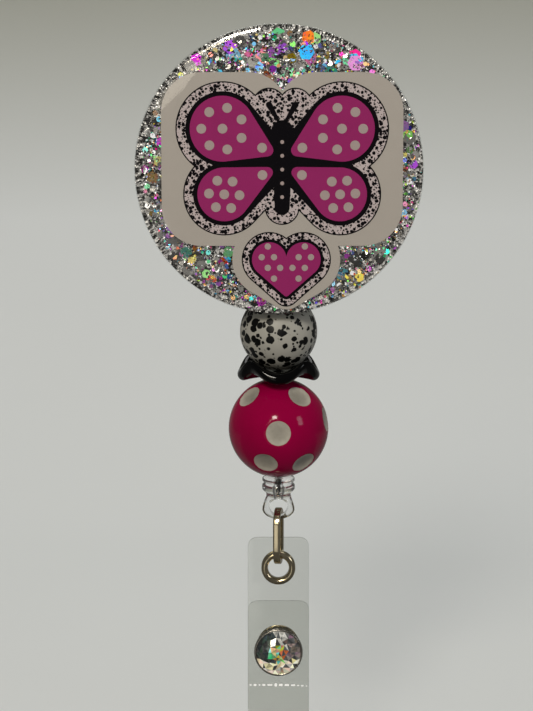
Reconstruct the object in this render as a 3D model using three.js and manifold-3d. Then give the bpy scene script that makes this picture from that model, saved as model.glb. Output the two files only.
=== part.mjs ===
// Retractable badge reel: a domed glitter topper on a spring reel with a swivel clip, three beads on the
// reel's cord, and a clear snap strap on a wire link.
// Units are millimetres, +Z is up and -Y is the front. The origin is the middle of the clip's grip.

import * as THREE from 'three';
import { mergeVertices } from 'three/addons/utils/BufferGeometryUtils.js';
import Module from 'manifold-3d';

const wasm = await Module();
wasm.setup();

// ---------- driving dimensions ----------

const FIT_GAP = 0.05; // between pieces of one body that lie face to face
const REST_GAP = 0.3; // between moving pieces that touch in use

const reel = { z: 13, radius: 16, halfDepth: 6, wall: 1.3, edge: 1.1 };
const post = { radius: 2.2, end: 3.3 };
const rivet = { shank: 1.4, innerHead: 2.3, outerHead: 3.2, headDepth: 0.7, headBevel: 0.5, clipGap: 0.15 };
const spool = { bore: 2.6, drum: 10.2, drumWall: 1, flange: 13.2, flangeDepth: 0.7, front: -4.3, back: 2.9 };
const winding = { inner: 10.35, outer: 12.3, sideGap: 0.2 };
const springCover = { inner: 2.8, outer: 9.6, gap: 0.15, depth: 0.4 };
const cord = { radius: 0.5, exitLift: 1.4 };
const bushing = { radius: 1.6, bore: 0.9, flange: 2.4, flangeDepth: 0.85, edge: 0.25 };

const topper = {
  radius: 27.5, coat: 27.35, lift: 7.3, back: -7, blankDepth: 2.4, coatDepth: 0.4, domeDepth: 1.4,
};
const dome = { recess: 27, recessDepth: 0.3, shoulder: 2.2, edgeDepth: 0.5, crown: 0.5, flatShare: 0.45 };
const decal = { depth: 0.15, shiftX: 0.6 };
const pad = { radius: 11 };

const whiteBead = { radius: 7.6, bore: 1.1 };
const spacer = {
  radius: 8.1, bore: 1.1, hubDepth: 1, rimDepth: 1.7, rimEdge: 0.5, wave: 2, waves: 4, rimLift: 0.35,
};
const pinkBead = { radius: 10, bore: 1.2 };

const stopper = {
  radius: 3.2, neck: 2.6, ribEdge: 0.25, ribDrops: [[0, 1.2], [1.35, 3.1]],
  footDrop: 4, dish: 2.2, dishDepth: 0.6,
  eyeRadius: 3.3, eyeHole: 1.8, eyeDepth: 2.6, eyeEdge: 0.7, eyeLift: 0.75,
  bore: 0.8, knotRoom: 1.5, knotDrop: 1.9,
};
const knot = { radius: 0.95, bore: 0.15 };
const link = { width: 1.4, thickness: 0.9, depth: 6.4 };
const strap = { width: 12.2, thickness: 0.7, gap: 2.4, corner: 1.6, flapCorner: 2, foldFlat: 0.6 };
const eyelet = { rim: 3.4, hole: 2.1, barrel: 2.4, rimDepth: 0.65, roll: 0.4, washer: 0.45 };
const snap = {
  cap: 4.85, capDepth: 1.1, capEdge: 0.15, seat: 0.35, shank: 1.35, shankEnd: 0.6, hole: 1.5,
  gem: 4.45, crown: 3.7, table: 2.2, gemRise: 2.1,
  socket: 4.2, socketBore: 1.95, socketDepth: 1.3,
  stud: 1.6, studRise: 1.75, flange: 4, flangeDepth: 0.4, post: 1.2, postCap: 4.3, postDepth: 0.7,
};

const clip = {
  width: 10, thickness: 0.8, tipDrop: 15, topRise: 17, pinRise: 7.5,
  mouthGap: 0.5, gripBack: 1.9, tipBack: 0.2, toeRise: 2.4,
  earRadius: 2.6, earHeight: 10, teeth: 4, toothDepth: 1.1, rivetGap: 0.25,
};
const lever = {
  toeBack: 1.9, toeRise: 2.2, straightBelow: 3, straightAbove: 2.5, flare: 2.6, topDrop: 0.5, pinGap: 0.08,
};
const clipPin = { radius: 0.9, head: 1.5, headDepth: 0.5, behindBase: 4.2 };
const clipSpring = { coil: 1.52, wire: 0.3, turns: 4, span: 4.4 };

// How far each piece of the hanging chain is below the pink bead's middle.
const drop = {
  stopperRim: 9.75, knot: 12.6, eye: 15.95, linkTop: 16.2, linkBottom: 27.6,
  strapTop: 22.2, eyelet: 28.4, flapTop: 34.4, snap: 44.7, fold: 64.6,
};

const topperZ = reel.z + topper.lift;
const reelExitZ = reel.z - reel.radius - FIT_GAP - bushing.flangeDepth;
const whiteZ = reelExitZ - REST_GAP - whiteBead.radius;
const spacerZ = whiteZ - whiteBead.radius - REST_GAP - spacer.hubDepth / 2;
const pinkZ = spacerZ - spacer.hubDepth / 2 - REST_GAP - pinkBead.radius;
const stopperRimZ = pinkZ - drop.stopperRim;
const knotZ = pinkZ - drop.knot;
const eyeZ = pinkZ - drop.eye;
const linkTopZ = pinkZ - drop.linkTop;
const linkBottomZ = pinkZ - drop.linkBottom;
const strapTopZ = pinkZ - drop.strapTop;
const eyeletZ = pinkZ - drop.eyelet;
const flapTopZ = pinkZ - drop.flapTop;
const snapZ = pinkZ - drop.snap;
const foldZ = pinkZ - drop.fold;

// ---------- helpers ----------

const ROUND = 30; // segments round a full turn on the larger round pieces
const FINE = 20; // and on the small ones
const DISC = 48; // and on the topper's rim
const RIM = 28; // and on the eyelet and the snap's cap
const CORNER_STEPS = 3; // in a rounded edge of the reel's case

const part = new THREE.Group();
part.name = 'badge_reel';

function add(name, geometry, color, roughness = 0.5, metalness = 0) {
  const material = new THREE.MeshStandardMaterial({ color, roughness, metalness });
  const mesh = new THREE.Mesh(geometry, material);
  mesh.name = name;
  part.add(mesh);
  return mesh;
}

// A closed three.js geometry as a manifold solid, and back.
function solid(geometry) {
  const bare = geometry.clone();
  bare.deleteAttribute('normal');
  bare.deleteAttribute('uv');
  const merged = mergeVertices(bare, 1e-4);
  const vertProperties = new Float32Array(merged.attributes.position.array);
  const triVerts = new Uint32Array(merged.index.array);
  return new wasm.Manifold(new wasm.Mesh({ numProp: 3, vertProperties, triVerts }));
}

function geometryOf(manifold) {
  const mesh = manifold.getMesh();
  const geometry = new THREE.BufferGeometry();
  geometry.setAttribute('position', new THREE.BufferAttribute(new Float32Array(mesh.vertProperties), 3));
  geometry.setIndex(new THREE.BufferAttribute(new Uint32Array(mesh.triVerts), 1));
  return geometry;
}

// A solid of revolution about Z; profile points are [radius, height], from low to high round the outside.
function turnedZ(profile, segments = ROUND) {
  const points = profile.map(([r, z]) => new THREE.Vector2(r, z));
  return new THREE.LatheGeometry(points, segments).rotateX(Math.PI / 2);
}

// The same about Y; profile points are [radius, y], and the piece is moved to height z.
function turnedY(profile, z, segments = ROUND) {
  const points = profile.map(([r, y]) => new THREE.Vector2(r, y));
  return new THREE.LatheGeometry(points, segments).translate(0, 0, z);
}

// A ring about Y between two radii and two depths.
function ringY(inner, outer, front, back, z, segments = ROUND) {
  const profile = [[inner, front], [outer, front], [outer, back], [inner, back], [inner, front]];
  return turnedY(profile, z, segments);
}

function discY(radius, front, back, z, segments = ROUND) {
  return turnedY([[0, front], [radius, front], [radius, back], [0, back]], z, segments);
}

function barZ(radius, low, high, segments = FINE) {
  return turnedZ([[0, low], [radius, low], [radius, high], [0, high]], segments);
}

function discX(radius, x0, x1, y, z, segments = FINE) {
  return turnedZ([[0, x0], [radius, x0], [radius, x1], [0, x1]], segments)
    .rotateY(Math.PI / 2)
    .translate(0, y, z);
}

function box(x0, x1, y0, y1, z0, z1) {
  return new THREE.BoxGeometry(x1 - x0, y1 - y0, z1 - z0)
    .translate((x0 + x1) / 2, (y0 + y1) / 2, (z0 + z1) / 2);
}

// A flat outline in X and Z given thickness from y = front to y = back.
function plateY(shape, front, back, curveSegments = 8) {
  const plate = new THREE.ExtrudeGeometry(shape, { depth: back - front, bevelEnabled: false, curveSegments });
  return plate.rotateX(Math.PI / 2).translate(0, back, 0);
}

// A flat outline in Y and Z given width from x0 to x1.
function plateX(shape, x0, x1, curveSegments = 8) {
  const plate = new THREE.ExtrudeGeometry(shape, { depth: x1 - x0, bevelEnabled: false, curveSegments });
  // The outline's x and y and its depth become Y, Z and X.
  const turn = new THREE.Matrix4().set(0, 0, 1, x0, 1, 0, 0, 0, 0, 1, 0, 0, 0, 0, 0, 1);
  return plate.applyMatrix4(turn);
}

// A rectangle with its own radius at each end: low corners, then high corners.
function roundedRectangle(x0, x1, z0, z1, low, high) {
  const shape = new THREE.Shape();
  shape.moveTo(x0 + low, z0);
  shape.lineTo(x1 - low, z0);
  if (low > 0) shape.absarc(x1 - low, z0 + low, low, -Math.PI / 2, 0);
  shape.lineTo(x1, z1 - high);
  if (high > 0) shape.absarc(x1 - high, z1 - high, high, 0, Math.PI / 2);
  shape.lineTo(x0 + high, z1);
  if (high > 0) shape.absarc(x0 + high, z1 - high, high, Math.PI / 2, Math.PI);
  shape.lineTo(x0, z0 + low);
  if (low > 0) shape.absarc(x0 + low, z0 + low, low, Math.PI, Math.PI * 1.5);
  return shape;
}

// The outline round two circles of different size and the tangents between them.
function taperedCapsule(ax, az, ra, bx, bz, rb) {
  const along = Math.atan2(bz - az, bx - ax);
  const lean = Math.acos((ra - rb) / Math.hypot(bx - ax, bz - az));
  const shape = new THREE.Shape();
  shape.absarc(bx, bz, rb, along - lean, along + lean);
  shape.absarc(ax, az, ra, along + lean, along - lean + Math.PI * 2);
  return shape;
}

// A rod of round section along a curve.
function rod(curve, radius, steps, sides = 8) {
  const section = new THREE.Shape();
  for (let i = 0; i < sides; i++) {
    const angle = (i / sides) * Math.PI * 2;
    const x = radius * Math.cos(angle);
    const y = radius * Math.sin(angle);
    if (i === 0) section.moveTo(x, y);
    else section.lineTo(x, y);
  }
  return new THREE.ExtrudeGeometry(section, { steps, extrudePath: curve, bevelEnabled: false });
}

// ---------- clip ----------

const clipFace = reel.halfDepth + REST_GAP; // front of the clip's base plate
const pinY = clipFace + clipPin.behindBase;
const pinZ = reel.z + clip.pinRise;
const clipTipZ = reel.z - clip.tipDrop;
const clipTopZ = reel.z + clip.topRise;

// The base plate's jaw tip bends back to meet the lever's, so the grip is this far behind the plate's front.
const gripY = clipFace + clip.gripBack;

// A strip of sheet metal bent along a centre line in Y and Z, of the width x0 to x1.
function bentStrip(points, thickness, x0, x1) {
  const line = points.map(([y, z]) => new THREE.Vector2(y, z));
  const sides = [[], []];
  line.forEach((p, i) => {
    const before = line[Math.max(i - 1, 0)];
    const after = line[Math.min(i + 1, line.length - 1)];
    const along = after.clone().sub(before).normalize();
    const out = new THREE.Vector2(-along.y, along.x).multiplyScalar(thickness / 2);
    sides[0].push(p.clone().add(out));
    sides[1].push(p.clone().sub(out));
  });
  return plateX(new THREE.Shape([...sides[0], ...sides[1].reverse()]), x0, x1);
}

// A side plate round the hinge pin, from depth yLow to just behind the pin.
function ear(x0, x1, yLow, height) {
  const shape = new THREE.Shape();
  const half = clip.earRadius;
  shape.moveTo(yLow, pinZ - height / 2);
  shape.lineTo(pinY, pinZ - half);
  shape.absarc(pinY, pinZ, half, -Math.PI / 2, Math.PI / 2);
  shape.lineTo(yLow, pinZ + height / 2);
  return plateX(shape, x0, x1);
}

// A jaw with notches cut across its tip, which leave its teeth.
function toothed(jaw, front, back) {
  const pitch = clip.width / clip.teeth;
  for (let i = 1; i < clip.teeth; i++) {
    const x = -clip.width / 2 + i * pitch;
    const notch = box(x - pitch / 4, x + pitch / 4, front, back, clipTipZ - 1, clipTipZ + clip.toothDepth);
    jaw = jaw.subtract(solid(notch));
  }
  return jaw;
}

function clipBase() {
  const mid = clipFace + clip.thickness / 2;
  const half = clip.width / 2;
  const tip = gripY - clip.mouthGap / 2 - clip.tipBack;
  const line = [[tip, clipTipZ], [mid, clipTipZ + clip.toeRise], [mid, clipTopZ]];
  let body = solid(bentStrip(line, clip.thickness, -half, half));
  for (const side of [-1, 1]) {
    const x0 = side < 0 ? -half : half - clip.thickness;
    body = body.add(solid(ear(x0, x0 + clip.thickness, mid, clip.earHeight)));
  }
  body = body.subtract(solid(discX(clipPin.radius + FIT_GAP, -half - 1, half + 1, pinY, pinZ)));
  body = body.subtract(solid(discY(rivet.shank + clip.rivetGap, clipFace - 1, clipFace + 2, reel.z, FINE)));
  return geometryOf(toothed(body, clipFace - 1, pinY));
}

function clipLever() {
  const half = clip.width / 2;
  const inner = half - clip.thickness - REST_GAP;
  const round = clip.earRadius;
  const back = pinY + round + clip.thickness / 2 + REST_GAP;
  const tip = gripY + clip.mouthGap / 2 + clip.tipBack;
  const line = [
    [tip, clipTipZ],
    [tip + lever.toeBack, clipTipZ + lever.toeRise],
    [back, pinZ - lever.straightBelow],
    [back, pinZ + lever.straightAbove],
    [back + lever.flare, clipTopZ - lever.topDrop],
  ];
  let body = solid(bentStrip(line, clip.thickness, -half, half));
  for (const side of [-1, 1]) {
    const x0 = side < 0 ? -inner : inner - clip.thickness;
    const x1 = x0 + clip.thickness;
    const cheek = solid(discX(round, x0, x1, pinY, pinZ));
    const web = solid(box(x0, x1, pinY, back, pinZ - round, pinZ + round));
    body = body.add(cheek).add(web);
  }
  body = body.subtract(solid(discX(clipPin.radius + lever.pinGap, -half - 1, half + 1, pinY, pinZ)));
  return geometryOf(toothed(body, clipFace - 1, back));
}

function hingePin() {
  const half = clip.width / 2;
  const { radius, head, headDepth } = clipPin;
  const start = -half - FIT_GAP - headDepth;
  const profile = [
    [0, start], [head, start], [head, start + headDepth], [radius, start + headDepth],
    [radius, half + FIT_GAP], [head, half + FIT_GAP], [head, half + FIT_GAP + headDepth],
    [0, half + FIT_GAP + headDepth],
  ];
  return turnedZ(profile, FINE).rotateY(Math.PI / 2).translate(0, pinY, pinZ);
}

// A few turns round the pin.
class SpringCurve extends THREE.Curve {
  getPoint(t, target = new THREE.Vector3()) {
    const { coil, turns, span } = clipSpring;
    const angle = -Math.PI / 2 + t * turns * Math.PI * 2;
    return target.set((t - 0.5) * span, pinY + coil * Math.sin(angle), pinZ + coil * Math.cos(angle));
  }
}

function torsionSpring() {
  return rod(new SpringCurve(), clipSpring.wire, 52, 5);
}

add('clip_base', clipBase(), 0xc8ccd0, 0.3, 1);
add('clip_lever', clipLever(), 0xc8ccd0, 0.3, 1);
add('clip_pin', hingePin(), 0xb4b8bc, 0.35, 1);
add('clip_spring', torsionSpring(), 0x9a9ea2, 0.35, 1);

// ---------- reel ----------

function caseFront() {
  const { radius, halfDepth, wall, edge } = reel;
  const rimY = halfDepth - wall - 0.1;
  const outer = [[0, -halfDepth], [radius - edge, -halfDepth]];
  for (let i = 1; i <= CORNER_STEPS; i++) {
    const angle = (i / CORNER_STEPS) * (Math.PI / 2);
    outer.push([radius - edge + edge * Math.sin(angle), -halfDepth + edge - edge * Math.cos(angle)]);
  }
  const inner = [
    [radius, rimY], [radius - wall, rimY], [radius - wall, -halfDepth + wall],
    [post.radius, -halfDepth + wall], [post.radius, post.end], [0, post.end],
  ];
  const shell = solid(turnedY([...outer, ...inner], reel.z));
  const hole = solid(barZ(bushing.radius + FIT_GAP, reel.z - radius - 2, reel.z - radius + wall + 1));
  return geometryOf(shell.subtract(hole));
}

function caseBack() {
  const { radius, halfDepth, wall, edge } = reel;
  const inside = halfDepth - wall;
  const lip = { outer: radius - wall - 0.2, depth: 1.2, width: 0.9 };
  const hole = rivet.shank + FIT_GAP;
  const profile = [
    [hole, inside], [lip.outer - lip.width, inside], [lip.outer - lip.width, inside - lip.depth],
    [lip.outer, inside - lip.depth], [lip.outer, inside], [radius, inside],
  ];
  for (let i = 0; i <= CORNER_STEPS; i++) {
    const angle = (i / CORNER_STEPS) * (Math.PI / 2);
    profile.push([radius - edge + edge * Math.cos(angle), halfDepth - edge + edge * Math.sin(angle)]);
  }
  profile.push([hole, halfDepth], [hole, inside]);
  return turnedY(profile, reel.z);
}

function swivelRivet() {
  const inside = reel.halfDepth - reel.wall - FIT_GAP;
  const { shank, innerHead, outerHead, headDepth, headBevel, clipGap } = rivet;
  const outside = clipFace + clip.thickness + clipGap;
  const profile = [
    [0, inside - headDepth], [innerHead, inside - headDepth], [innerHead, inside], [shank, inside],
    [shank, outside], [outerHead, outside], [outerHead - headBevel, outside + headDepth],
    [0, outside + headDepth],
  ];
  return turnedY(profile, reel.z, FINE);
}

function cordBushing() {
  const { radius, bore, flange, flangeDepth, edge } = bushing;
  const top = reel.z - reel.radius + cord.exitLift;
  const under = reelExitZ + flangeDepth;
  const profile = [
    [bore, reelExitZ], [flange - edge, reelExitZ], [flange, reelExitZ + edge],
    [flange, under], [radius, under],
    [radius, top], [bore, top], [bore, reelExitZ],
  ];
  return turnedZ(profile, FINE);
}

function spoolBody() {
  const { bore, drum, drumWall, flange, flangeDepth, front, back } = spool;
  const profile = [
    [bore, front], [flange, front], [flange, front + flangeDepth], [drum, front + flangeDepth],
    [drum, back - flangeDepth], [flange, back - flangeDepth], [flange, back], [drum - drumWall, back],
    [drum - drumWall, front + flangeDepth], [bore, front + flangeDepth], [bore, front],
  ];
  return turnedY(profile, reel.z);
}

function cordWinding() {
  const { inner, outer, sideGap } = winding;
  const front = spool.front + spool.flangeDepth + sideGap;
  const back = spool.back - spool.flangeDepth - sideGap;
  return ringY(inner, outer, front, back, reel.z);
}

// A ribbon standing on edge, coiled from the post to the drum's wall.
function mainspring() {
  const thickness = 0.2;
  const turns = 6.5;
  const start = spool.bore + 0.3;
  const end = spool.drum - spool.drumWall - 0.35;
  const steps = 84;
  const spiral = (i, offset) => {
    const t = i / steps;
    const radius = start + (end - start) * t + offset;
    const angle = t * turns * Math.PI * 2;
    return new THREE.Vector2(radius * Math.cos(angle), radius * Math.sin(angle));
  };
  const points = [];
  for (let i = 0; i <= steps; i++) points.push(spiral(i, -thickness / 2));
  for (let i = steps; i >= 0; i--) points.push(spiral(i, thickness / 2));
  const front = spool.front + spool.flangeDepth + 0.4;
  const ribbon = plateY(new THREE.Shape(points), front, spool.back - spool.flangeDepth);
  return ribbon.translate(0, 0, reel.z);
}

function coverDisc() {
  const { inner, outer, gap, depth } = springCover;
  const front = spool.back + gap;
  return ringY(inner, outer, front, front + depth, reel.z);
}

// The cord from the winding's lower left, round and down to the collar.
function cordInnerRun() {
  // Across from the collar, below the reel's middle, and in front of it.
  const point = (across, below, front) => new THREE.Vector3(-across, -front, reel.z - below);
  const collarTop = reel.radius - cord.exitLift - REST_GAP;
  const curve = new THREE.CatmullRomCurve3([
    point(5.5, 11.95, 0.7),
    point(3.6, 12.85, 0.5),
    point(1.6, 13.35, 0.2),
    point(0.35, 13.8, 0),
    point(0, collarTop, 0),
  ]);
  return rod(curve, cord.radius, 10);
}

add('case_front', caseFront(), 0xf2f2f0, 0.35);
add('case_back', caseBack(), 0xf2f2f0, 0.35);
add('swivel_rivet', swivelRivet(), 0xc0c4c8, 0.3, 1);
add('cord_bushing', cordBushing(), 0xe8e8e6, 0.35);
add('spool', spoolBody(), 0xd9dadb, 0.45);
add('cord_winding', cordWinding(), 0x141414, 0.8);
add('mainspring', mainspring(), 0x8f98a3, 0.3, 1);
add('spring_cover', coverDisc(), 0xe2e2e0, 0.5);
add('cord_inner_run', cordInnerRun(), 0x141414, 0.8);

// ---------- topper ----------

const blankFront = topper.back - topper.blankDepth;
const coatFront = blankFront - topper.coatDepth;
const domeFront = coatFront - topper.domeDepth;

// Clear cap with a round shoulder, hollowed by the decal's thickness.
function resinDome() {
  const { radius } = topper;
  const { recess, recessDepth, shoulder, edgeDepth, crown, flatShare } = dome;
  const back = coatFront - FIT_GAP;
  const profile = [
    [0, back - recessDepth], [recess, back - recessDepth], [recess, back], [radius, back],
    [radius, back - edgeDepth],
  ];
  const steps = 5;
  const rise = back - edgeDepth - domeFront - crown;
  for (let i = 1; i <= steps; i++) {
    const angle = (i / steps) * (Math.PI / 2);
    profile.push([
      radius - shoulder + shoulder * Math.cos(angle),
      back - edgeDepth - rise * Math.sin(angle),
    ]);
  }
  profile.push([radius * flatShare, domeFront], [0, domeFront]);
  return turnedY(profile.reverse(), topperZ, DISC);
}

// The sticker's outline: two tall rounded lobes side by side, and a heart's lobe under them.
function decalSheet() {
  const front = coatFront - FIT_GAP - decal.depth;
  const back = coatFront - FIT_GAP;
  const lobe = { halfWidth: 12, halfHeight: 16.4, corner: 7.5, offset: 10.9, z: topperZ + 2 };
  const heart = { lobeX: 3.1, lobeZ: -17, tipZ: -23.1, lobe: 7.2, tip: 3.5, shiftX: 0.8 };
  let sheet = null;
  for (const side of [-1, 1]) {
    const x = decal.shiftX + side * lobe.offset;
    const tall = roundedRectangle(
      x - lobe.halfWidth, x + lobe.halfWidth, lobe.z - lobe.halfHeight, lobe.z + lobe.halfHeight,
      lobe.corner, lobe.corner,
    );
    const hx = decal.shiftX + heart.shiftX;
    const half = taperedCapsule(
      hx + side * heart.lobeX, topperZ + heart.lobeZ, heart.lobe, hx, topperZ + heart.tipZ, heart.tip,
    );
    const pair = solid(plateY(tall, front, back, 10)).add(solid(plateY(half, front, back, 12)));
    sheet = sheet ? sheet.add(pair) : pair;
  }
  return geometryOf(sheet);
}

const padFront = topper.back + FIT_GAP;
add('adhesive_pad', discY(pad.radius, padFront, -reel.halfDepth - FIT_GAP, reel.z), 0xf4f4f4, 0.9);
add('acrylic_blank', discY(topper.radius, blankFront, topper.back, topperZ, DISC), 0xdfe4e6, 0.1);
add('glitter_coat', discY(topper.coat, coatFront, blankFront - FIT_GAP, topperZ, DISC), 0x8c9096, 0.3, 0.6);
add('decal', decalSheet(), 0xd8318f, 0.4);
add('resin_dome', resinDome(), 0xe8ecee, 0.05);

// ---------- beads ----------

// A ball with a straight bore along Z.
function bead(radius, bore, segments) {
  const start = Math.asin(bore / radius);
  const steps = Math.round(segments / 2);
  const profile = [];
  for (let i = 0; i <= steps; i++) {
    const angle = -Math.PI / 2 + start + (i / steps) * (Math.PI - 2 * start);
    profile.push([radius * Math.cos(angle), radius * Math.sin(angle)]);
  }
  profile.push(profile[0]);
  return turnedZ(profile, segments);
}

// A washer whose rim waves up and down, thin at the hub and thicker at the rim.
function wavySpacer() {
  const rings = 5;
  const around = 48;
  const positions = [];
  const index = [];
  const { radius, bore, hubDepth, rimDepth, rimEdge, wave, waves, rimLift } = spacer;
  const loop = rings * 2;
  for (let j = 0; j < around; j++) {
    const phi = (j / around) * Math.PI * 2;
    const top = [];
    const bottom = [];
    for (let i = 0; i < rings; i++) {
      const t = i / (rings - 1);
      const r = bore + (radius - bore) * Math.sin((t * Math.PI) / 2);
      const swell = ((r - bore) / (radius - bore)) ** 2;
      const height = swell * (rimLift - wave * Math.cos(waves * phi));
      const depth = i === rings - 1 ? rimDepth * rimEdge : hubDepth + (rimDepth - hubDepth) * swell;
      top.push([r * Math.sin(phi), -r * Math.cos(phi), height + depth / 2]);
      bottom.push([r * Math.sin(phi), -r * Math.cos(phi), height - depth / 2]);
    }
    for (const p of [...top, ...bottom.reverse()]) positions.push(...p);
  }
  for (let j = 0; j < around; j++) {
    const next = (j + 1) % around;
    for (let i = 0; i < loop; i++) {
      const a = j * loop + i;
      const b = j * loop + ((i + 1) % loop);
      const c = next * loop + i;
      const d = next * loop + ((i + 1) % loop);
      index.push(a, b, c, b, d, c);
    }
  }
  const geometry = new THREE.BufferGeometry();
  geometry.setAttribute('position', new THREE.BufferAttribute(new Float32Array(positions), 3));
  geometry.setIndex(index);
  return geometry;
}

add('white_bead', bead(whiteBead.radius, whiteBead.bore, 24), 0xe9e8e2, 0.5).position.z = whiteZ;
add('wavy_spacer', wavySpacer(), 0x080808, 0.15).position.z = spacerZ;
add('pink_bead', bead(pinkBead.radius, pinkBead.bore, 26), 0xd8107c, 0.2).position.z = pinkZ;

// ---------- cord and its stopper ----------

function cordLead() {
  const top = reel.z - reel.radius + cord.exitLift - 2 * FIT_GAP;
  return barZ(cord.radius, knotZ + knot.radius + FIT_GAP, top, 8);
}

// Two ribs over a flattened eye, with a bore for the cord that opens into the eye.
function cordStopper() {
  const { radius, neck, ribEdge, ribDrops, footDrop, dish, dishDepth, bore, knotRoom, knotDrop } = stopper;
  const { eyeRadius, eyeHole, eyeDepth, eyeEdge, eyeLift } = stopper;
  const [upper, lower] = ribDrops.map(([high, low]) => [
    [radius - ribEdge, -low], [radius, ribEdge - low], [radius, -high - ribEdge], [radius - ribEdge, -high],
  ]);
  const profile = [
    [0, -footDrop - dishDepth], [neck, -footDrop], ...lower, [neck, -ribDrops[1][0] + FIT_GAP], ...upper,
    [dish, -dishDepth + FIT_GAP], [0, -dishDepth],
  ];
  let body = solid(turnedZ(profile, FINE).translate(0, 0, stopperRimZ));
  const eye = [
    [0, -eyeDepth / 2], [eyeRadius - eyeEdge, -eyeDepth / 2], [eyeRadius, -eyeDepth / 4],
    [eyeRadius, eyeDepth / 4], [eyeRadius - eyeEdge, eyeDepth / 2], [0, eyeDepth / 2],
  ];
  body = body.add(solid(turnedY(eye, eyeZ + eyeLift, FINE)));
  body = body.subtract(solid(discY(eyeHole, -eyeDepth, eyeDepth, eyeZ, FINE)));
  body = body.subtract(solid(barZ(bore, knotZ, stopperRimZ + 1, FINE)));
  body = body.subtract(solid(barZ(knotRoom, eyeZ, stopperRimZ - knotDrop, FINE)));
  return geometryOf(body);
}

add('cord_lead', cordLead(), 0x141414, 0.8);
add('cord_knot', bead(knot.radius, knot.bore, 10), 0x141414, 0.8).position.z = knotZ;
add('cord_stopper', cordStopper(), 0xe6e9ea, 0.1);

// ---------- link ----------

// A long loop of flat wire, standing in the Y and Z plane.
function strapLink() {
  const { width, thickness, depth } = link;
  const outerRadius = depth / 2;
  const innerRadius = outerRadius - thickness;
  const high = linkTopZ - outerRadius;
  const low = linkBottomZ + outerRadius;
  const stadium = (path, radius) => {
    path.absarc(0, high, radius, 0, Math.PI);
    path.absarc(0, low, radius, Math.PI, Math.PI * 2);
    return path;
  };
  const shape = stadium(new THREE.Shape(), outerRadius);
  shape.holes.push(stadium(new THREE.Path(), innerRadius));
  return plateX(shape, -width / 2, width / 2, RIM / 2);
}

add('strap_link', strapLink(), 0xb9b3a4, 0.3, 1);

// ---------- strap ----------

const halfStrap = strap.width / 2;
const halfSheet = strap.thickness / 2;
const flapBack = -halfSheet - strap.gap;
const flapFront = flapBack - strap.thickness;
const foldRadius = (strap.gap + strap.thickness) / 2;
const foldY = -foldRadius;

function strapBack() {
  const outline = roundedRectangle(-halfStrap, halfStrap, foldZ + FIT_GAP, strapTopZ, 0, strap.corner);
  let sheet = solid(plateY(outline, -halfSheet, halfSheet));
  sheet = sheet.subtract(solid(discY(eyelet.barrel + FIT_GAP, -1, 1, eyeletZ, FINE)));
  return geometryOf(sheet.subtract(solid(discY(snap.hole, -1, 1, snapZ, FINE))));
}

function strapFlap() {
  const outline = roundedRectangle(-halfStrap, halfStrap, foldZ + REST_GAP, flapTopZ, 0, strap.flapCorner);
  const sheet = solid(plateY(outline, flapFront, flapBack));
  return geometryOf(sheet.subtract(solid(discY(snap.hole, flapFront - 1, flapBack + 1, snapZ, FINE))));
}

// The turn that joins the back strip to the flap: two quarter bends with a flat between them, which a
// badge's slot bears on.
function strapFold() {
  const flat = strap.foldFlat / 2;
  const outer = foldRadius + halfSheet - flat;
  const inner = foldRadius - halfSheet - flat;
  const shape = new THREE.Shape();
  shape.absarc(foldY - flat, foldZ, outer, Math.PI, Math.PI * 1.5);
  shape.absarc(foldY + flat, foldZ, outer, Math.PI * 1.5, Math.PI * 2);
  shape.absarc(foldY + flat, foldZ, inner, Math.PI * 2, Math.PI * 1.5, true);
  shape.absarc(foldY - flat, foldZ, inner, Math.PI * 1.5, Math.PI, true);
  return plateX(shape, -halfStrap, halfStrap, 4);
}

add('strap_back', strapBack(), 0xe4e6e6, 0.2);
add('strap_fold', strapFold(), 0xe4e6e6, 0.2);
add('strap_flap', strapFlap(), 0xe4e6e6, 0.2);

// ---------- eyelet ----------

function eyeletFront() {
  const { rim, hole, barrel, rimDepth, roll } = eyelet;
  const face = -halfSheet - FIT_GAP;
  const end = halfSheet + FIT_GAP + rimDepth;
  const profile = [
    [hole, face - rimDepth + roll / 2], [hole + roll, face - rimDepth], [rim - roll, face - rimDepth],
    [rim, face - rimDepth + roll], [rim, face], [barrel, face], [barrel, end], [hole, end],
    [hole, face - rimDepth + roll / 2],
  ];
  return turnedY(profile, eyeletZ, RIM);
}

function eyeletWasher() {
  const front = halfSheet + FIT_GAP;
  return ringY(eyelet.barrel + FIT_GAP, eyelet.rim, front, front + eyelet.washer, eyeletZ, RIM);
}

add('eyelet', eyeletFront(), 0xb9b3a4, 0.3, 1);
add('eyelet_washer', eyeletWasher(), 0xb9b3a4, 0.3, 1);

// ---------- snap ----------

function snapBezel() {
  const { cap, capDepth, capEdge, seat, gem, shank, shankEnd } = snap;
  const back = flapFront - FIT_GAP;
  const front = back - capDepth;
  const profile = [
    [0, back - seat], [gem, back - seat], [gem, front], [cap - capEdge, front], [cap, front + 2 * capEdge],
    [cap, back], [shank, back], [shank, flapBack + shankEnd], [0, flapBack + shankEnd],
  ];
  return turnedY(profile, snapZ, RIM);
}

// Faceted dome: a flat table, a crown row and a girdle row.
function snapGem() {
  const { gem, crown, table, gemRise, seat } = snap;
  const back = flapFront - seat - 2 * FIT_GAP;
  const girdle = gem - FIT_GAP;
  const rows = [[girdle, 0], [girdle, gemRise / 3], [crown, gemRise * 0.7], [table, gemRise]];
  const profile = [[0, back], ...rows.map(([r, rise]) => [r, back - rise]), [0, back - gemRise]];
  return turnedY(profile.reverse(), snapZ, 16);
}

function snapSocket() {
  const front = flapBack + FIT_GAP;
  return ringY(snap.socketBore, snap.socket, front, flapBack + snap.socketDepth, snapZ, FINE);
}

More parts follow.
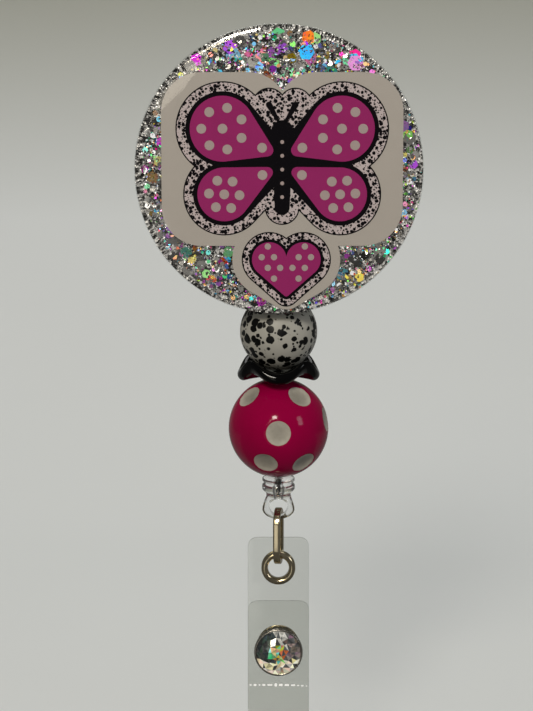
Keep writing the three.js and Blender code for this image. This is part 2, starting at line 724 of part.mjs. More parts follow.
function snapStud() {
  const face = -halfSheet - FIT_GAP;
  const { stud, studRise, flange, flangeDepth, shank, postDepth } = snap;
  const profile = [
    [0, face - studRise], [stud - 0.4, face - studRise], [stud, face - studRise + 0.35],
    [stud - 0.2, face - flangeDepth - 0.1], [flange, face - flangeDepth], [flange, face], [shank, face],
    [shank, face - postDepth], [0, face - postDepth],
  ];
  return turnedY(profile, snapZ, FINE);
}

function snapPost() {
  const face = halfSheet + FIT_GAP;
  const start = -halfSheet - REST_GAP;
  const { post: shaft, postCap, postDepth } = snap;
  const profile = [
    [0, start], [shaft, start], [shaft, face], [postCap, face], [postCap, face + postDepth / 2],
    [postCap - postDepth, face + postDepth], [0, face + postDepth],
  ];
  return turnedY(profile, snapZ, FINE);
}

add('snap_bezel', snapBezel(), 0x8e8a84, 0.25, 1);
add('snap_gem', snapGem(), 0xcfd8d0, 0.05, 0.2);
add('snap_socket', snapSocket(), 0xb9b3a4, 0.3, 1);
add('snap_stud', snapStud(), 0xb9b3a4, 0.3, 1);
add('snap_post', snapPost(), 0xb9b3a4, 0.3, 1);

// The origin is the middle of the clip's grip, so everything moves forwards by the grip's depth.
part.position.y = -gripY;
part.updateMatrixWorld(true);

export default part;
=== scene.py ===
"""Looks of the retractable badge reel: glitter topper with a printed decal under a clear dome, beads on the
cord, clear stopper, wire link, and a clear vinyl strap with eyelet and snap. Lengths are millimetres in the
functions below and become metres where a mesh is made."""

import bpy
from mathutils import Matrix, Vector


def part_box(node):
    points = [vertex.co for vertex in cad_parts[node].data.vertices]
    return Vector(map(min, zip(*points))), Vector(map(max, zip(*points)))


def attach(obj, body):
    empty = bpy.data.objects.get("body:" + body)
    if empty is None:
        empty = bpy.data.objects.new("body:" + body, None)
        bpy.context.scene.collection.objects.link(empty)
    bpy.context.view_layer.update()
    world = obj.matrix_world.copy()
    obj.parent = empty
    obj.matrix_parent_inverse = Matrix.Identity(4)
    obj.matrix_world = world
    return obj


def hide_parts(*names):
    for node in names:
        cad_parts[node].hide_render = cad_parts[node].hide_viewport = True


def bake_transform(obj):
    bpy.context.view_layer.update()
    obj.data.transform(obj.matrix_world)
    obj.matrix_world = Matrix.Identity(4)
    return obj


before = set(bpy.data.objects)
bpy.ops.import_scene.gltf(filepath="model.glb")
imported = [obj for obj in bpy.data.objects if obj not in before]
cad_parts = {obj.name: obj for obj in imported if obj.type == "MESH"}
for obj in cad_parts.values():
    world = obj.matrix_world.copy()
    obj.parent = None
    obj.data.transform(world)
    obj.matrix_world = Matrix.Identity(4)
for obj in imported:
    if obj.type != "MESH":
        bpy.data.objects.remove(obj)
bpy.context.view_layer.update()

import colorsys
from math import atan2, cos, exp, hypot, pi, radians, sin, sqrt

import bmesh
import bpy
import numpy as np
from mathutils import Matrix, Vector
from mathutils.geometry import delaunay_2d_cdt

MM = 0.001
rng = np.random.default_rng(7)

# ---------- places taken from the frame ----------


def low(node):
    return Vector(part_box(node)[0]) / MM


def high(node):
    return Vector(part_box(node)[1]) / MM


def middle(node):
    return (low(node) + high(node)) / 2


def depths(node):
    """The front and the back of a piece."""
    return low(node).y, high(node).y


def half_width(node):
    return (high(node).x - low(node).x) / 2


AXIS_Y = middle("cord_lead").y  # depth of the cord, and of everything that hangs on it
CORD_AT = (0, AXIS_Y, 0)
DISC = middle("acrylic_blank")  # the topper's centre
DISC_AT = (DISC.x, 0, DISC.z)
DISC_RADIUS = half_width("acrylic_blank")
REEL = middle("spool")
REEL_AT = (REEL.x, 0, REEL.z)
WHITE = middle("white_bead")
PINK = middle("pink_bead")
SPACER_Z = (low("white_bead").z + high("pink_bead").z) / 2
ART_X = 0.6  # the decal sits this far right of the topper's centre


# ---------- meshes ----------


def corners(x0, z0, x1, z1):
    return [(x0, z0), (x1, z0), (x1, z1), (x0, z1)]


def turns(count):
    """Angles spaced evenly once round."""
    return [2 * pi * k / count for k in range(count)]


def polar(radius, angle, x=0, z=0):
    """The point this far from (x, z), in this direction."""
    return x + radius * cos(angle), z + radius * sin(angle)


def circle(radius, x=0, z=0, steps=28):
    return [polar(radius, angle, x, z) for angle in turns(steps)]


def rounded(points, radius, steps=4, closed=False):
    """The same outline with its corners rounded."""
    points = [Vector(p) for p in points]
    count = len(points)
    out = []
    for i, corner in enumerate(points):
        if not closed and i in (0, count - 1):
            out.append(corner)
            continue
        before = points[i - 1] - corner
        after = points[(i + 1) % count] - corner
        reach = min(radius, before.length * 0.45, after.length * 0.45)
        start = corner + before.normalized() * reach
        end = corner + after.normalized() * reach
        for k in range(steps + 1):
            t = k / steps
            out.append(start * (1 - t) ** 2 + corner * 2 * t * (1 - t) + end * t * t)
    return out


def lathe(profile, at, axis="Y", segments=96, closed=False):
    """Points and faces of a profile of (radius, place along the axis) turned about an axis through at."""
    points, rings, faces = [], [], []
    for radius, along in profile:
        around = turns(segments) if radius > 1e-4 else [0.0]
        rings.append(range(len(points), len(points) + len(around)))
        for angle in around:
            a, b = polar(radius, angle)
            moved = (a, along, b) if axis == "Y" else (a, b, along)
            points.append(tuple(c + d for c, d in zip(at, moved)))
    pairs = list(zip(rings, rings[1:])) + ([(rings[-1], rings[0])] if closed else [])
    for one, two in pairs:
        for k in range(segments):
            n = (k + 1) % segments
            quad = [one[k % len(one)], one[n % len(one)], two[n % len(two)], two[k % len(two)]]
            face = list(dict.fromkeys(quad))
            if len(face) > 2:
                faces.append(face)
    return points, faces


def prism(outline, front, back):
    """Points and faces of an outline in x and z, between two depths."""
    count = len(outline)
    points = [(x, front, z) for x, z in outline] + [(x, back, z) for x, z in outline]
    faces = [list(range(count)), list(range(2 * count - 1, count - 1, -1))]
    faces += [[i, (i + 1) % count, count + (i + 1) % count, count + i] for i in range(count)]
    return points, faces


def tube_faces(rows, size, closed):
    """Faces over rows of points, each row a loop of this size; an open tube also gets its two ends."""
    faces = []
    for i in range(rows if closed else rows - 1):
        n = (i + 1) % rows
        for k in range(size):
            m = (k + 1) % size
            faces.append([i * size + k, i * size + m, n * size + m, n * size + k])
    if not closed:
        faces += [list(range(size)), list(range(rows * size - 1, (rows - 1) * size - 1, -1))]
    return faces


def sweep(path, section, side=Vector((1, 0, 0)), closed=False):
    """Points and faces of a section of (along side, outward) carried along a path that lies across side."""
    points = []
    count = len(path)
    for i, place in enumerate(path):
        before = path[i - 1] if closed or i else path[0]
        after = path[(i + 1) % count] if closed else path[min(i + 1, count - 1)]
        out = (after - before).normalized().cross(side)
        points += [tuple(place + side * a + out * b) for a, b in section]
    return points, tube_faces(count, len(section), closed)


def joined(*shapes):
    points, faces = [], []
    for more_points, more_faces in shapes:
        start = len(points)
        points += more_points
        faces += [[start + i for i in face] for face in more_faces]
    return points, faces


def shown(name, data):
    """A new object in the scene."""
    piece = bpy.data.objects.new(name, data)
    bpy.context.scene.collection.objects.link(piece)
    return piece


def smooth(mesh, sharp):
    mesh.shade_smooth()
    mesh.set_sharp_from_angle(angle=radians(sharp))


def build(name, shape, material, sharp=35):
    """A new object from points in millimetres and faces: normals outwards, smooth between sharp edges."""
    points, faces = shape
    mesh = bpy.data.meshes.new(name)
    mesh.from_pydata([(x * MM, y * MM, z * MM) for x, y, z in points], [], faces)
    worked = bmesh.new()
    worked.from_mesh(mesh)
    bmesh.ops.recalc_face_normals(worked, faces=worked.faces)
    worked.to_mesh(mesh)
    worked.free()
    smooth(mesh, sharp)
    mesh.materials.append(material)
    return shown(name, mesh)


def bevelled(piece, width, segments, limit):
    bevel = piece.modifiers.new("edges", "BEVEL")
    bevel.width = width * MM
    bevel.segments = segments
    bevel.limit_method = "ANGLE"
    bevel.angle_limit = radians(limit)
    bevel.harden_normals = False


def settle(piece, sharp=35):
    """Puts a piece's modifiers into its mesh."""
    graph = bpy.context.evaluated_depsgraph_get()
    mesh = bpy.data.meshes.new_from_object(piece.evaluated_get(graph), depsgraph=graph)
    piece.modifiers.clear()
    piece.data = mesh
    smooth(mesh, sharp)


def cut(piece, profile, at, axis, segments):
    """Takes a turned shape out of a piece."""
    cutter = build("cutter", lathe(profile, at, axis, segments), piece.data.materials[0])
    change = piece.modifiers.new("cut", "BOOLEAN")
    change.operation = "DIFFERENCE"
    change.solver = "EXACT"
    change.object = cutter
    settle(piece)
    bpy.data.objects.remove(cutter)


def drill(radius, reach):
    """The profile of a plain hole that reaches this far both ways."""
    return corners(0, -reach, radius, reach)


def place(piece, body, slot, *nodes):
    """The piece rides on a body and stands for these CAD nodes, which are hidden; slot is not used."""
    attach(piece, body)
    if nodes:
        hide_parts(*nodes)


def turned(name, profile, at, material, body, slot, node, soft=0.0, sharp=35, **turning):
    """A piece made by turning a profile, its corners rounded by soft, that stands for a CAD node."""
    if soft:
        profile = rounded(profile, soft, closed=turning.get("closed", False))
    place(build(name, lathe(profile, at, **turning), material, sharp), body, slot, node)


# ---------- materials ----------


def dimmed(colour, share):
    return (*(channel * share for channel in colour[:3]), 1)


def rgb(red, green, blue):
    """A screen colour of 0 to 255 a channel, as a linear colour."""
    screen = (red / 255, green / 255, blue / 255)
    return (*(c / 12.92 if c <= 0.04045 else ((c + 0.055) / 1.055) ** 2.4 for c in screen), 1)


class Tree:
    """The node tree of a new material or world, with short ways to add to it."""

    def __init__(self, name, owners=bpy.data.materials, output="OutputMaterial"):
        self.owner = owners.new(name)
        self.owner.use_nodes = True
        self.tree = self.owner.node_tree
        self.tree.nodes.clear()
        self.output = self.node(output)

    def node(self, kind, inputs=None, **settings):
        """A node of a kind that is named without its ShaderNode, with values or links on its inputs."""
        made = self.tree.nodes.new("ShaderNode" + kind)
        for key, value in settings.items():
            setattr(made, key, value)
        for key, value in (inputs or {}).items():
            if isinstance(value, bpy.types.NodeSocket):
                self.tree.links.new(value, made.inputs[key])
            else:
                made.inputs[key].default_value = value
        return made

    def place(self, shift=(0, 0, 0), scale=(1, 1, 1)):
        """Object coordinates in millimetres from a point, stretched by scale."""
        inputs = {
            "Vector": self.node("TexCoord").outputs["Object"],
            "Location": tuple(-s * k for s, k in zip(shift, scale)),
            "Scale": tuple(k / MM for k in scale),
        }
        return self.node("Mapping", inputs).outputs[0]

    def math(self, operation, a, b=0.0, c=0.0, clamp=False):
        return self.node("Math", {0: a, 1: b, 2: c}, operation=operation, use_clamp=clamp).outputs[0]

    def vector(self, operation, a, b=(0, 0, 0)):
        return self.node("VectorMath", {0: a, 1: b}, operation=operation).outputs

    def mix(self, factor, a, b, blend="MIX"):
        inputs = {"Factor": factor, 6: a, 7: b}
        return self.node("Mix", inputs, data_type="RGBA", blend_type=blend).outputs[2]

    def noise(self, scale, detail, rough=0.5, at=None, out="Fac"):
        spot = self.place() if at is None else at
        inputs = {"Vector": spot, "Scale": scale, "Detail": detail, "Roughness": rough}
        return self.node("TexNoise", inputs).outputs[out]

    def cells(self, vector, scale):
        inputs = {"Vector": vector, "Scale": scale, "Randomness": 1.0}
        return self.node("TexVoronoi", inputs, feature="F1").outputs

    def channels(self, colour):
        return self.node("SeparateColor", {"Color": colour}).outputs

    def attribute(self, name):
        return self.node("Attribute", attribute_name=name).outputs["Color"]

    def ramp(self, factor, stops):
        """stops are (place, grey or colour)."""
        made = self.node("ValToRGB", {"Fac": factor})
        band = made.color_ramp
        while len(band.elements) < len(stops):
            band.elements.new(0.5)
        for element, (spot, value) in zip(band.elements, stops):
            element.position = spot
            element.color = (value, value, value, 1) if isinstance(value, (int, float)) else (*value, 1)
        return made.outputs["Color"]

    def step(self, value, edge, width):
        """0 below edge and 1 above it, with a soft width."""
        span = {"Value": value, "From Min": edge - width, "From Max": edge + width}
        return self.node("MapRange", span, interpolation_type="SMOOTHSTEP").outputs[0]

    def bump(self, height, distance, strength=1.0):
        inputs = {"Height": height, "Distance": distance * MM, "Strength": strength}
        return self.node("Bump", inputs).outputs[0]

    def surface(self, colour, **inputs):
        """A Principled shader; names use _ for spaces."""
        named = {key.replace("_", " "): value for key, value in inputs.items()}
        return self.node("BsdfPrincipled", {"Base Color": colour, **named}).outputs[0]

    def clear(self, tint):
        return self.node("BsdfTransparent", {"Color": tint}).outputs[0]

    def either(self, share, first, second):
        """Two shaders mixed; share is how much of the second."""
        return self.node("MixShader", {0: share, 1: first, 2: second}).outputs[0]

    def finish(self, shader):
        self.tree.links.new(shader, self.output.inputs["Surface"])
        return self.owner


def spotted(name, ground, ink, scale, vary, roughness, distort, fine, ior=1.35, shift=(0, 0, 0)):
    """A ground colour with irregular dark blots, and small ones on cells that are finer by a factor fine."""
    blot_size = 0.44  # an average blot's radius as a share of a cell
    t = Tree(name)
    spot = t.place(shift)
    push = t.vector("SUBTRACT", t.noise(scale * 1.7, 3, at=spot, out="Color"), (0.5, 0.5, 0.5))[0]
    push = t.vector("MULTIPLY", push, (distort / scale,) * 3)[0]
    warped = t.vector("ADD", spot, push)[0]
    large = t.cells(warped, scale)
    reach = t.math("MULTIPLY_ADD", t.channels(large["Color"])[0], vary, blot_size - vary / 2)
    blot = t.step(t.math("SUBTRACT", reach, large["Distance"]), 0, 0.03)
    small = t.cells(warped, scale * fine)
    reach = t.math("MULTIPLY", t.step(t.channels(small["Color"])[1], 0.5, 0.02), 0.3)
    blot = t.math("MAXIMUM", blot, t.step(t.math("SUBTRACT", reach, small["Distance"]), 0, 0.06))
    base = t.mix(t.noise(0.25, 3, at=spot), dimmed(ground, 0.92), ground)
    grain = t.bump(t.noise(14, 2, at=spot), 0.01, 0.4)
    return t.finish(t.surface(t.mix(blot, base, ink), Roughness=roughness, Normal=grain, IOR=ior))


def plastic(name, colour, roughness, grain_scale=6, grain=0.008, coat=0.0, mottle=0.94, ior=1.5, painted_glint=0.0):
    """Moulded plastic or rubber: a slight mottle and a fine surface grain; a glow, where one is given, is a
    painted glint.
    """
    t = Tree(name)
    shade = t.mix(t.noise(0.35, 4), dimmed(colour, mottle), colour)
    fine = t.noise(grain_scale, 3)
    rough = t.ramp(fine, [(0.3, roughness * 0.85), (0.7, min(roughness * 1.15, 1))])
    normal = t.bump(fine, grain, 0.6)
    return t.finish(
        t.surface(shade, Roughness=rough, Normal=normal, IOR=ior, Coat_Weight=coat, Coat_Roughness=0.05,
                  Emission_Color=colour, Emission_Strength=painted_glint)
    )


def metal(name, colour, roughness, lines=(6, 6, 0.6)):
    """Plated metal with fine lines along its lowest-scale direction and duller patches."""
    t = Tree(name)
    patch = t.noise(0.5, 4)
    shade = t.mix(patch, dimmed(colour, 0.8), colour)
    rough = t.ramp(patch, [(0.3, roughness * 0.7), (0.75, roughness * 1.5)])
    normal = t.bump(t.noise(3, 3, at=t.place(scale=lines)), 0.006, 0.5)
    return t.finish(t.surface(shade, Metallic=1.0, Roughness=rough, Normal=normal))


def see_through(name, tint, milk, milk_share, roughness, gloss, edge=None, scuff=0.02):
    """Clear plastic that doesn't bend light: what is behind it, a little milk, and a mirror on its face.
    A face that slopes away from the eye takes the edge colour, if there is one: painted shade for the dark
    rim that bent light gives a clear sheet's edges."""
    t = Tree(name)
    normal = t.bump(t.noise(0.6, 3), scuff, 0.5)
    facing = t.node("LayerWeight", {"Blend": 0.35}).outputs["Facing"]
    haze = t.node("BsdfDiffuse", {"Color": milk}).outputs[0]
    body = t.either(t.math("MULTIPLY_ADD", facing, milk_share * 2.5, milk_share), t.clear(tint), haze)
    if edge:
        # painted shade: slanted faces turn to the darker edge colour
        body = t.either(t.step(facing, 0.6, 0.25), body, t.clear(edge))
    mirror = t.node("BsdfGlossy", {"Roughness": roughness, "Normal": normal}).outputs[0]
    fresnel = t.node("Fresnel", {"IOR": gloss, "Normal": normal}).outputs[0]
    front = t.math("SUBTRACT", 1.0, t.node("NewGeometry").outputs["Backfacing"])
    share = t.math("MULTIPLY", fresnel, front)  # the light isn't bent, so an inner face mirrors nothing
    return t.finish(t.either(share, body, mirror))


def moulded_clear(name, colour):
    """Clear moulded plastic that bends light, and lets lamps through."""
    t = Tree(name)
    normal = t.bump(t.noise(1.2, 2), 0.02, 0.5)
    glass = t.surface(colour, Roughness=0.04, IOR=1.46, Transmission_Weight=1.0, Normal=normal)
    lamp_light = t.node("LightPath").outputs["Is Shadow Ray"]
    return t.finish(t.either(lamp_light, glass, t.clear((0.9, 0.91, 0.91, 1))))


def glitter_ground():
    """Fine silver, grey and black specks; near the rim, radial streaks painted as the dome's shoulder
    refracting them, widest at the upper left.
    """
    shoulder = 26.5  # the specks end and the painted refraction streaks begin this far from the topper's centre
    t = Tree("glitter_ground")
    spot = t.place(DISC_AT)
    apart = t.node("SeparateXYZ", {"Vector": spot}).outputs
    radius = t.vector("LENGTH", t.place(DISC, (1, 0, 1)))["Value"]
    turn = t.math("ARCTAN2", apart["Z"], apart["X"])
    speck = t.cells(spot, 2.3)
    luck = t.channels(speck["Color"])
    cloud = t.math("MULTIPLY", t.noise(1.3, 4, 0.7, spot), 0.6)
    value = t.math("ADD", t.math("MULTIPLY", luck[0], 0.5), cloud)
    # the specks are made slightly lighter towards the lower right and darker towards the upper left
    lift = t.math("MULTIPLY", t.math("SUBTRACT", t.math("MULTIPLY", apart["X"], 0.5), apart["Z"]), 0.001)
    grey = t.ramp(t.math("ADD", value, lift), [(0.39, 0.012), (0.49, 0.12), (0.58, 0.36), (0.68, 0.92)])
    vivid = {"Hue": luck[1], "Saturation": 1.0, "Value": 1.0, "Color": (0.9, 0.12, 0.1, 1)}
    fine = t.mix(t.step(luck[2], 0.93, 0.01), grey, t.node("HueSaturation", vivid).outputs[0])
    spokes = {"X": t.math("MULTIPLY", turn, 26), "Y": t.math("MULTIPLY", radius, 0.35)}
    streak = t.noise(1.5, 4, 0.75, t.node("CombineXYZ", spokes).outputs[0])
    painted_refraction_bars = t.ramp(streak, [(0.44, 0.01), (0.5, 0.1), (0.53, 0.6), (0.62, 0.9)])
    upper_left = t.math("COSINE", t.math("SUBTRACT", turn, radians(140)))
    edge = t.math("SUBTRACT", shoulder, t.math("MULTIPLY", upper_left, 0.8))
    # painted refraction: past the edge the specks give way to black and white radial bars, widest at the
    # upper left
    colour = t.mix(t.step(t.math("SUBTRACT", radius, edge), 0, 0.2), fine, painted_refraction_bars)
    normal = t.bump(t.math("ADD", luck[0], speck["Distance"]), 0.12, 0.8)
    return t.finish(t.surface(colour, Metallic=0.35, Roughness=0.3, Normal=normal))


def flake_material():
    """Foil flakes, each with its own colour; a glow paints their glints."""
    t = Tree("glitter_foil")
    drift = {"Value": t.noise(1.1, 3), "To Min": 0.34, "To Max": 0.66}
    hue = {"Hue": t.node("MapRange", drift).outputs[0], "Color": t.attribute("tint")}
    # random darker patches over the flakes
    dark_patches = t.ramp(t.noise(5, 3), [(0.4, 0.0), (0.65, 0.25)])
    shade = t.mix(dark_patches, t.node("HueSaturation", hue).outputs[0], (0.02, 0.02, 0.025, 1))
    # painted glint: the flakes glow with their glow colour
    painted_glint = {"Emission_Color": t.attribute("painted_glint"), "Emission_Strength": 0.55}
    return t.finish(t.surface(shade, Metallic=0.6, Roughness=0.22, **painted_glint))


def ink(name, colour, deep=0.93):
    """Print under clear resin, so with no gloss of its own: flat colour with a faint dot grain."""
    return plastic(name, colour, 0.45, 9, 0.003, mottle=deep, ior=1.05)


def pink_gloss(dots, spread):
    """Hot pink gloss, and white paint in the recessed dots, painted darker towards each dish's middle as
    painted shade; dots are directions from the bead's centre.
    """
    t = Tree("pink_gloss")
    away = t.vector("NORMALIZE", t.place(PINK))[0]
    alongs = [t.vector("DOT_PRODUCT", away, tuple(direction))["Value"] for direction in dots]
    nearest = alongs[0]
    for along in alongs[1:]:
        nearest = t.math("MAXIMUM", nearest, along)
    white = t.step(nearest, cos(spread), 0.0012)
    pink = t.mix(t.noise(0.22, 4), rgb(156, 0, 62), rgb(172, 0, 72))
    # painted shade: the dots' paint darkens from each dish's rim towards its middle
    depth = t.math("MULTIPLY", t.math("SUBTRACT", 1.0, nearest), 1 / (1 - cos(spread)))
    shade = t.ramp(depth, [(0.0, 0.74), (0.75, 1.0)])
    paint = t.mix(t.noise(1.1, 4), rgb(176, 170, 158), rgb(208, 202, 190))
    colour = t.mix(white, pink, t.mix(1.0, paint, shade, "MULTIPLY"))
    rough = t.ramp(white, [(0.0, 0.09), (1.0, 0.5)])
    normal = t.bump(t.noise(3, 3), 0.01, 0.25)
    return t.finish(t.surface(colour, Roughness=rough, Normal=normal, IOR=1.27))


def stone():
    """Foil-backed facets, each with its own colour and a glow that paints its flashes, under a hard gloss.
    """
    t = Tree("rhinestone")
    veil = t.ramp(t.noise(1.4, 4, 0.6), [(0.4, 0.0), (0.62, 0.75)])
    shade = t.mix(veil, t.attribute("tint"), (0.03, 0.035, 0.04, 1))
    # painted glint: the facets glow with their glow colour
    painted_glint = {"Emission_Color": t.attribute("painted_glint"), "Emission_Strength": 0.5}
    gloss = {"Coat_Weight": 1.0, "Coat_Roughness": 0.02}
    return t.finish(t.surface(shade, Metallic=0.55, Roughness=0.08, **gloss, **painted_glint))


def braid():
    """Black braided cord: crossing ribs, painted darker in the grooves between them as painted shade."""
    t = Tree("cord_braid")
    ribs = []
    for lean in (1, -1):
        wave = {"Vector": t.place(CORD_AT, (1.2, 1.2, lean)), "Scale": 0.55, "Distortion": 0.5}
        ribs.append(t.node("TexWave", wave, bands_direction="DIAGONAL").outputs["Fac"])
    height = t.math("MAXIMUM", *ribs)
    # painted shade: darker where the ribs are low
    colour = t.ramp(height, [(0.2, 0.004), (0.8, 0.02)])
    return t.finish(t.surface(colour, Roughness=0.75, Normal=t.bump(height, 0.08)))


BLACK_INK = ink("ink_black", rgb(12, 8, 14))
PINK_INK = ink("ink_pink", rgb(176, 50, 122), 0.88)
DOT_INK = ink("ink_dots", rgb(196, 179, 177))
VINYL_WHITE = plastic("vinyl_white", rgb(203, 196, 189), 0.5, 4, 0.004, ior=1.05)
DALMATIAN = spotted(
    "ink_dalmatian", rgb(222, 208, 210), rgb(12, 9, 14), 1.5, 0.36, 0.5, distort=0.35, fine=1.8, ior=1.05
)
SPLATTER = spotted(
    "silicone_splatter", rgb(192, 190, 182), rgb(6, 6, 6), 0.6, 0.5, 0.42, distort=0.3, fine=1.9,
    shift=(4, 9, 3),
)
BLACK_GLOSS = plastic("black_gloss", rgb(5, 5, 6), 0.07, grain=0.003, ior=1.3)
CASE_WHITE = plastic("case_white", rgb(232, 232, 228), 0.3, coat=0.2)
SPOOL_GREY = plastic("spool_grey", rgb(214, 214, 212), 0.5)
FOAM = plastic("foam_white", rgb(226, 225, 220), 0.9, 3, 0.12)
NICKEL = metal("nickel_warm", rgb(220, 206, 174), 0.14)
CLIP_STEEL = metal("clip_nickel", rgb(208, 209, 210), 0.2, (3, 3, 0.4))
SPRING_STEEL = metal("spring_steel", rgb(170, 174, 178), 0.28)
SNAP_METAL = metal("snap_dark_nickel", rgb(186, 181, 172), 0.22)
DOME_CLEAR = see_through("resin_clear", (1, 1, 1, 1), (0.9, 0.9, 0.88, 1), 0.0, 0.05, 1.5, scuff=0.0)
ACRYLIC = see_through("acrylic_clear", (0.97, 0.985, 0.98, 1), (0.8, 0.83, 0.82, 1), 0.01, 0.03, 1.49)
# the darker edge colour is painted shade along the strap's slanted faces
VINYL_CLEAR = see_through(
    "vinyl_clear", (0.925, 0.93, 0.918, 1), (0.62, 0.63, 0.6, 1), 0.02, 0.1, 1.5, (0.4, 0.41, 0.39, 1), 0.05
)
# the marks glow: a painted glint, as if they caught the light
VINYL_MARK_PAINTED_GLINT = plastic("vinyl_emboss_painted_glint", rgb(255, 255, 252), 0.3, painted_glint=0.4)
STOPPER_CLEAR = moulded_clear("stopper_clear", (0.97, 0.975, 0.975, 1))
GLITTER = glitter_ground()
FOIL = flake_material()
STONE = stone()
CORD = braid()


# ---------- the decal's outlines ----------


def capsule_distance(x, z, ax, az, ra, bx, bz, rb):
    """Distance of points from the tapered capsule round two circles, below 0 inside."""
    length = hypot(bx - ax, bz - az)
    ux, uz = (bx - ax) / length, (bz - az) / length
    along = (x - ax) * ux + (z - az) * uz
    across = np.abs((x - ax) * uz - (z - az) * ux)
    slope = (ra - rb) / length
    flank = sqrt(1 - slope * slope)
    k = along * flank - across * slope
    side = across * flank + along * slope - ra
    first = np.hypot(along, across) - ra
    last = np.hypot(along - length, across) - rb
    return np.where(k < 0, first, np.where(k > flank * length, last, side))


def nearest_of(capsules):
    return lambda x, z: np.min([capsule_distance(x, z, *c) for c in capsules], axis=0)


def point_along(capsule, share):
    """The point this share of the way along a capsule's middle line."""
    ax, az, _, bx, bz, _ = capsule
    return ax + (bx - ax) * share, az + (bz - az) * share


def box_distance(x, z, cx, cz, half_x, half_z, corner):
    dx = np.abs(x - cx) - (half_x - corner)
    dz = np.abs(z - cz) - (half_z - corner)
    return np.hypot(np.maximum(dx, 0), np.maximum(dz, 0)) + np.minimum(np.maximum(dx, dz), 0) - corner


def trace(distance, offset, centre, steps=480):
    """The outline at an offset from a shape that every ray from centre leaves once."""
    turn = np.arange(steps) * 2 * np.pi / steps
    near, far = np.zeros(steps), np.full(steps, 40.0)
    for _ in range(30):
        half = (near + far) / 2
        inside = distance(centre[0] + half * np.cos(turn), centre[1] + half * np.sin(turn)) < offset
        near, far = np.where(inside, half, near), np.where(inside, far, half)
    return [polar(radius, angle, *centre) for radius, angle in zip(near, turn)]


ART = (DISC.x + ART_X, DISC.z + 1.7)  # the butterfly's middle
HEART = (ART[0] + 0.8, DISC.z)


def wing_capsules(side):
    ax, az = ART
    upper = (ax + side * 1.7, az + 1.5, 1.9, ax + side * 11.3, az + 6.1, 6.3)
    lower = (ax + side * 1.7, az - 1.6, 1.7, ax + side * 11.0, az - 6.3, 5.2)
    return [upper, lower]


WINGS = wing_capsules(-1) + wing_capsules(1)
BODY = (ART[0], ART[1] + 5.6, 1.4, ART[0], ART[1] - 8.8, 0.7)
FEELERS = [(ART[0] + s * 0.7, ART[1] + 7.5, 0.28, ART[0] + s * 2.5, ART[1] + 10.6, 0.6) for s in (-1, 1)]
HEART_LOBES = [(HEART[0] + s * 3.25, HEART[1] - 17, 3.3, HEART[0], HEART[1] - 23.6, 0.5) for s in (-1, 1)]
STICKER_LOBES = [(HEART[0] + s * 3.1, HEART[1] - 17, 7.2, HEART[0], HEART[1] - 23.1, 3.5) for s in (-1, 1)]


def sticker_distance(x, z):
    boxes = [box_distance(x, z, ART[0] + s * 10.9, DISC.z + 2, 12, 16.4, 7.5) for s in (-1, 1)]
    return np.min([*boxes, nearest_of(STICKER_LOBES)(x, z)], axis=0)


# ---------- topper ----------

COAT_FRONT = low("glitter_coat").y
DECAL_FRONT, DECAL_BACK = depths("decal")
DOME_FRONT, DOME_BACK = depths("resin_dome")
PRINT_LAYER = 0.022


def topper_blank():
    front, back = depths("acrylic_blank")
    profile = corners(0, front, DISC_RADIUS, back)
    blank = ("reel", "clear_acrylic", "acrylic_blank")
    turned("topper_acrylic", profile, DISC_AT, ACRYLIC, *blank, soft=0.25, segments=192)


def topper_coat():
    back = high("glitter_coat").y
    radius = DISC_RADIUS - 0.15
    profile = [(0, COAT_FRONT), (radius * 0.5, COAT_FRONT), (radius, COAT_FRONT), (radius, back), (0, back)]
    turned("topper_glitter", profile, DISC_AT, GLITTER, "reel", "glitter", "glitter_coat", segments=192)


def flake_colour(size, vivid):
    """A flake's foil colour and its glow, a painted glint that stands in for the light it throws back."""
    kind = 0 if vivid else rng.random()
    if kind < 0.2 + 0.12 * (size > 0.5):
        hue = rng.choice([0.02, 0.06, 0.1, 0.14, 0.31, 0.38, 0.47, 0.57, 0.64, 0.76, 0.85, 0.95])
        hue += rng.uniform(-0.02, 0.02)
        colour = colorsys.hsv_to_rgb(hue, rng.uniform(0.6, 1), rng.uniform(0.4, 1))
        share = 1.3 if vivid or rng.random() < 0.4 else 0.05
        return (*colour, 1), dimmed(colour, share)
    if kind < 0.57:
        grey = rng.uniform(0.02, 0.14)
    elif kind < 0.76:
        grey = rng.uniform(0.18, 0.48)
    else:
        grey = rng.uniform(0.55, 0.93)
    # the palest flakes glow: a painted glint
    painted_shine = grey * 1.1 if grey > 0.85 else 0.0
    return (grey, grey * 0.99, grey * 0.97, 1), (painted_shine, painted_shine, painted_shine, 1)


def flake(x, z, size, tilt):
    """The six front and six back corners of a foil flake that leans at random."""
    half_thick, deepest = 0.01, COAT_FRONT + 0.1
    spin = rng.uniform(0, 60)
    lean = Matrix.Rotation(radians(rng.uniform(-tilt, tilt)), 3, "X")
    lean = lean @ Matrix.Rotation(radians(rng.uniform(-tilt, tilt)), 3, "Z")
    lies_at = COAT_FRONT - 0.07 + rng.uniform(-0.04, 0.04)
    points = []
    for half in (-half_thick, half_thick):
        for k in range(6):
            across, up = polar(size, radians(spin + 60 * k))
            local = lean @ Vector((across, half, up))
            points.append((x + local.x, min(lies_at + local.y, deepest), z + local.z))
    return points


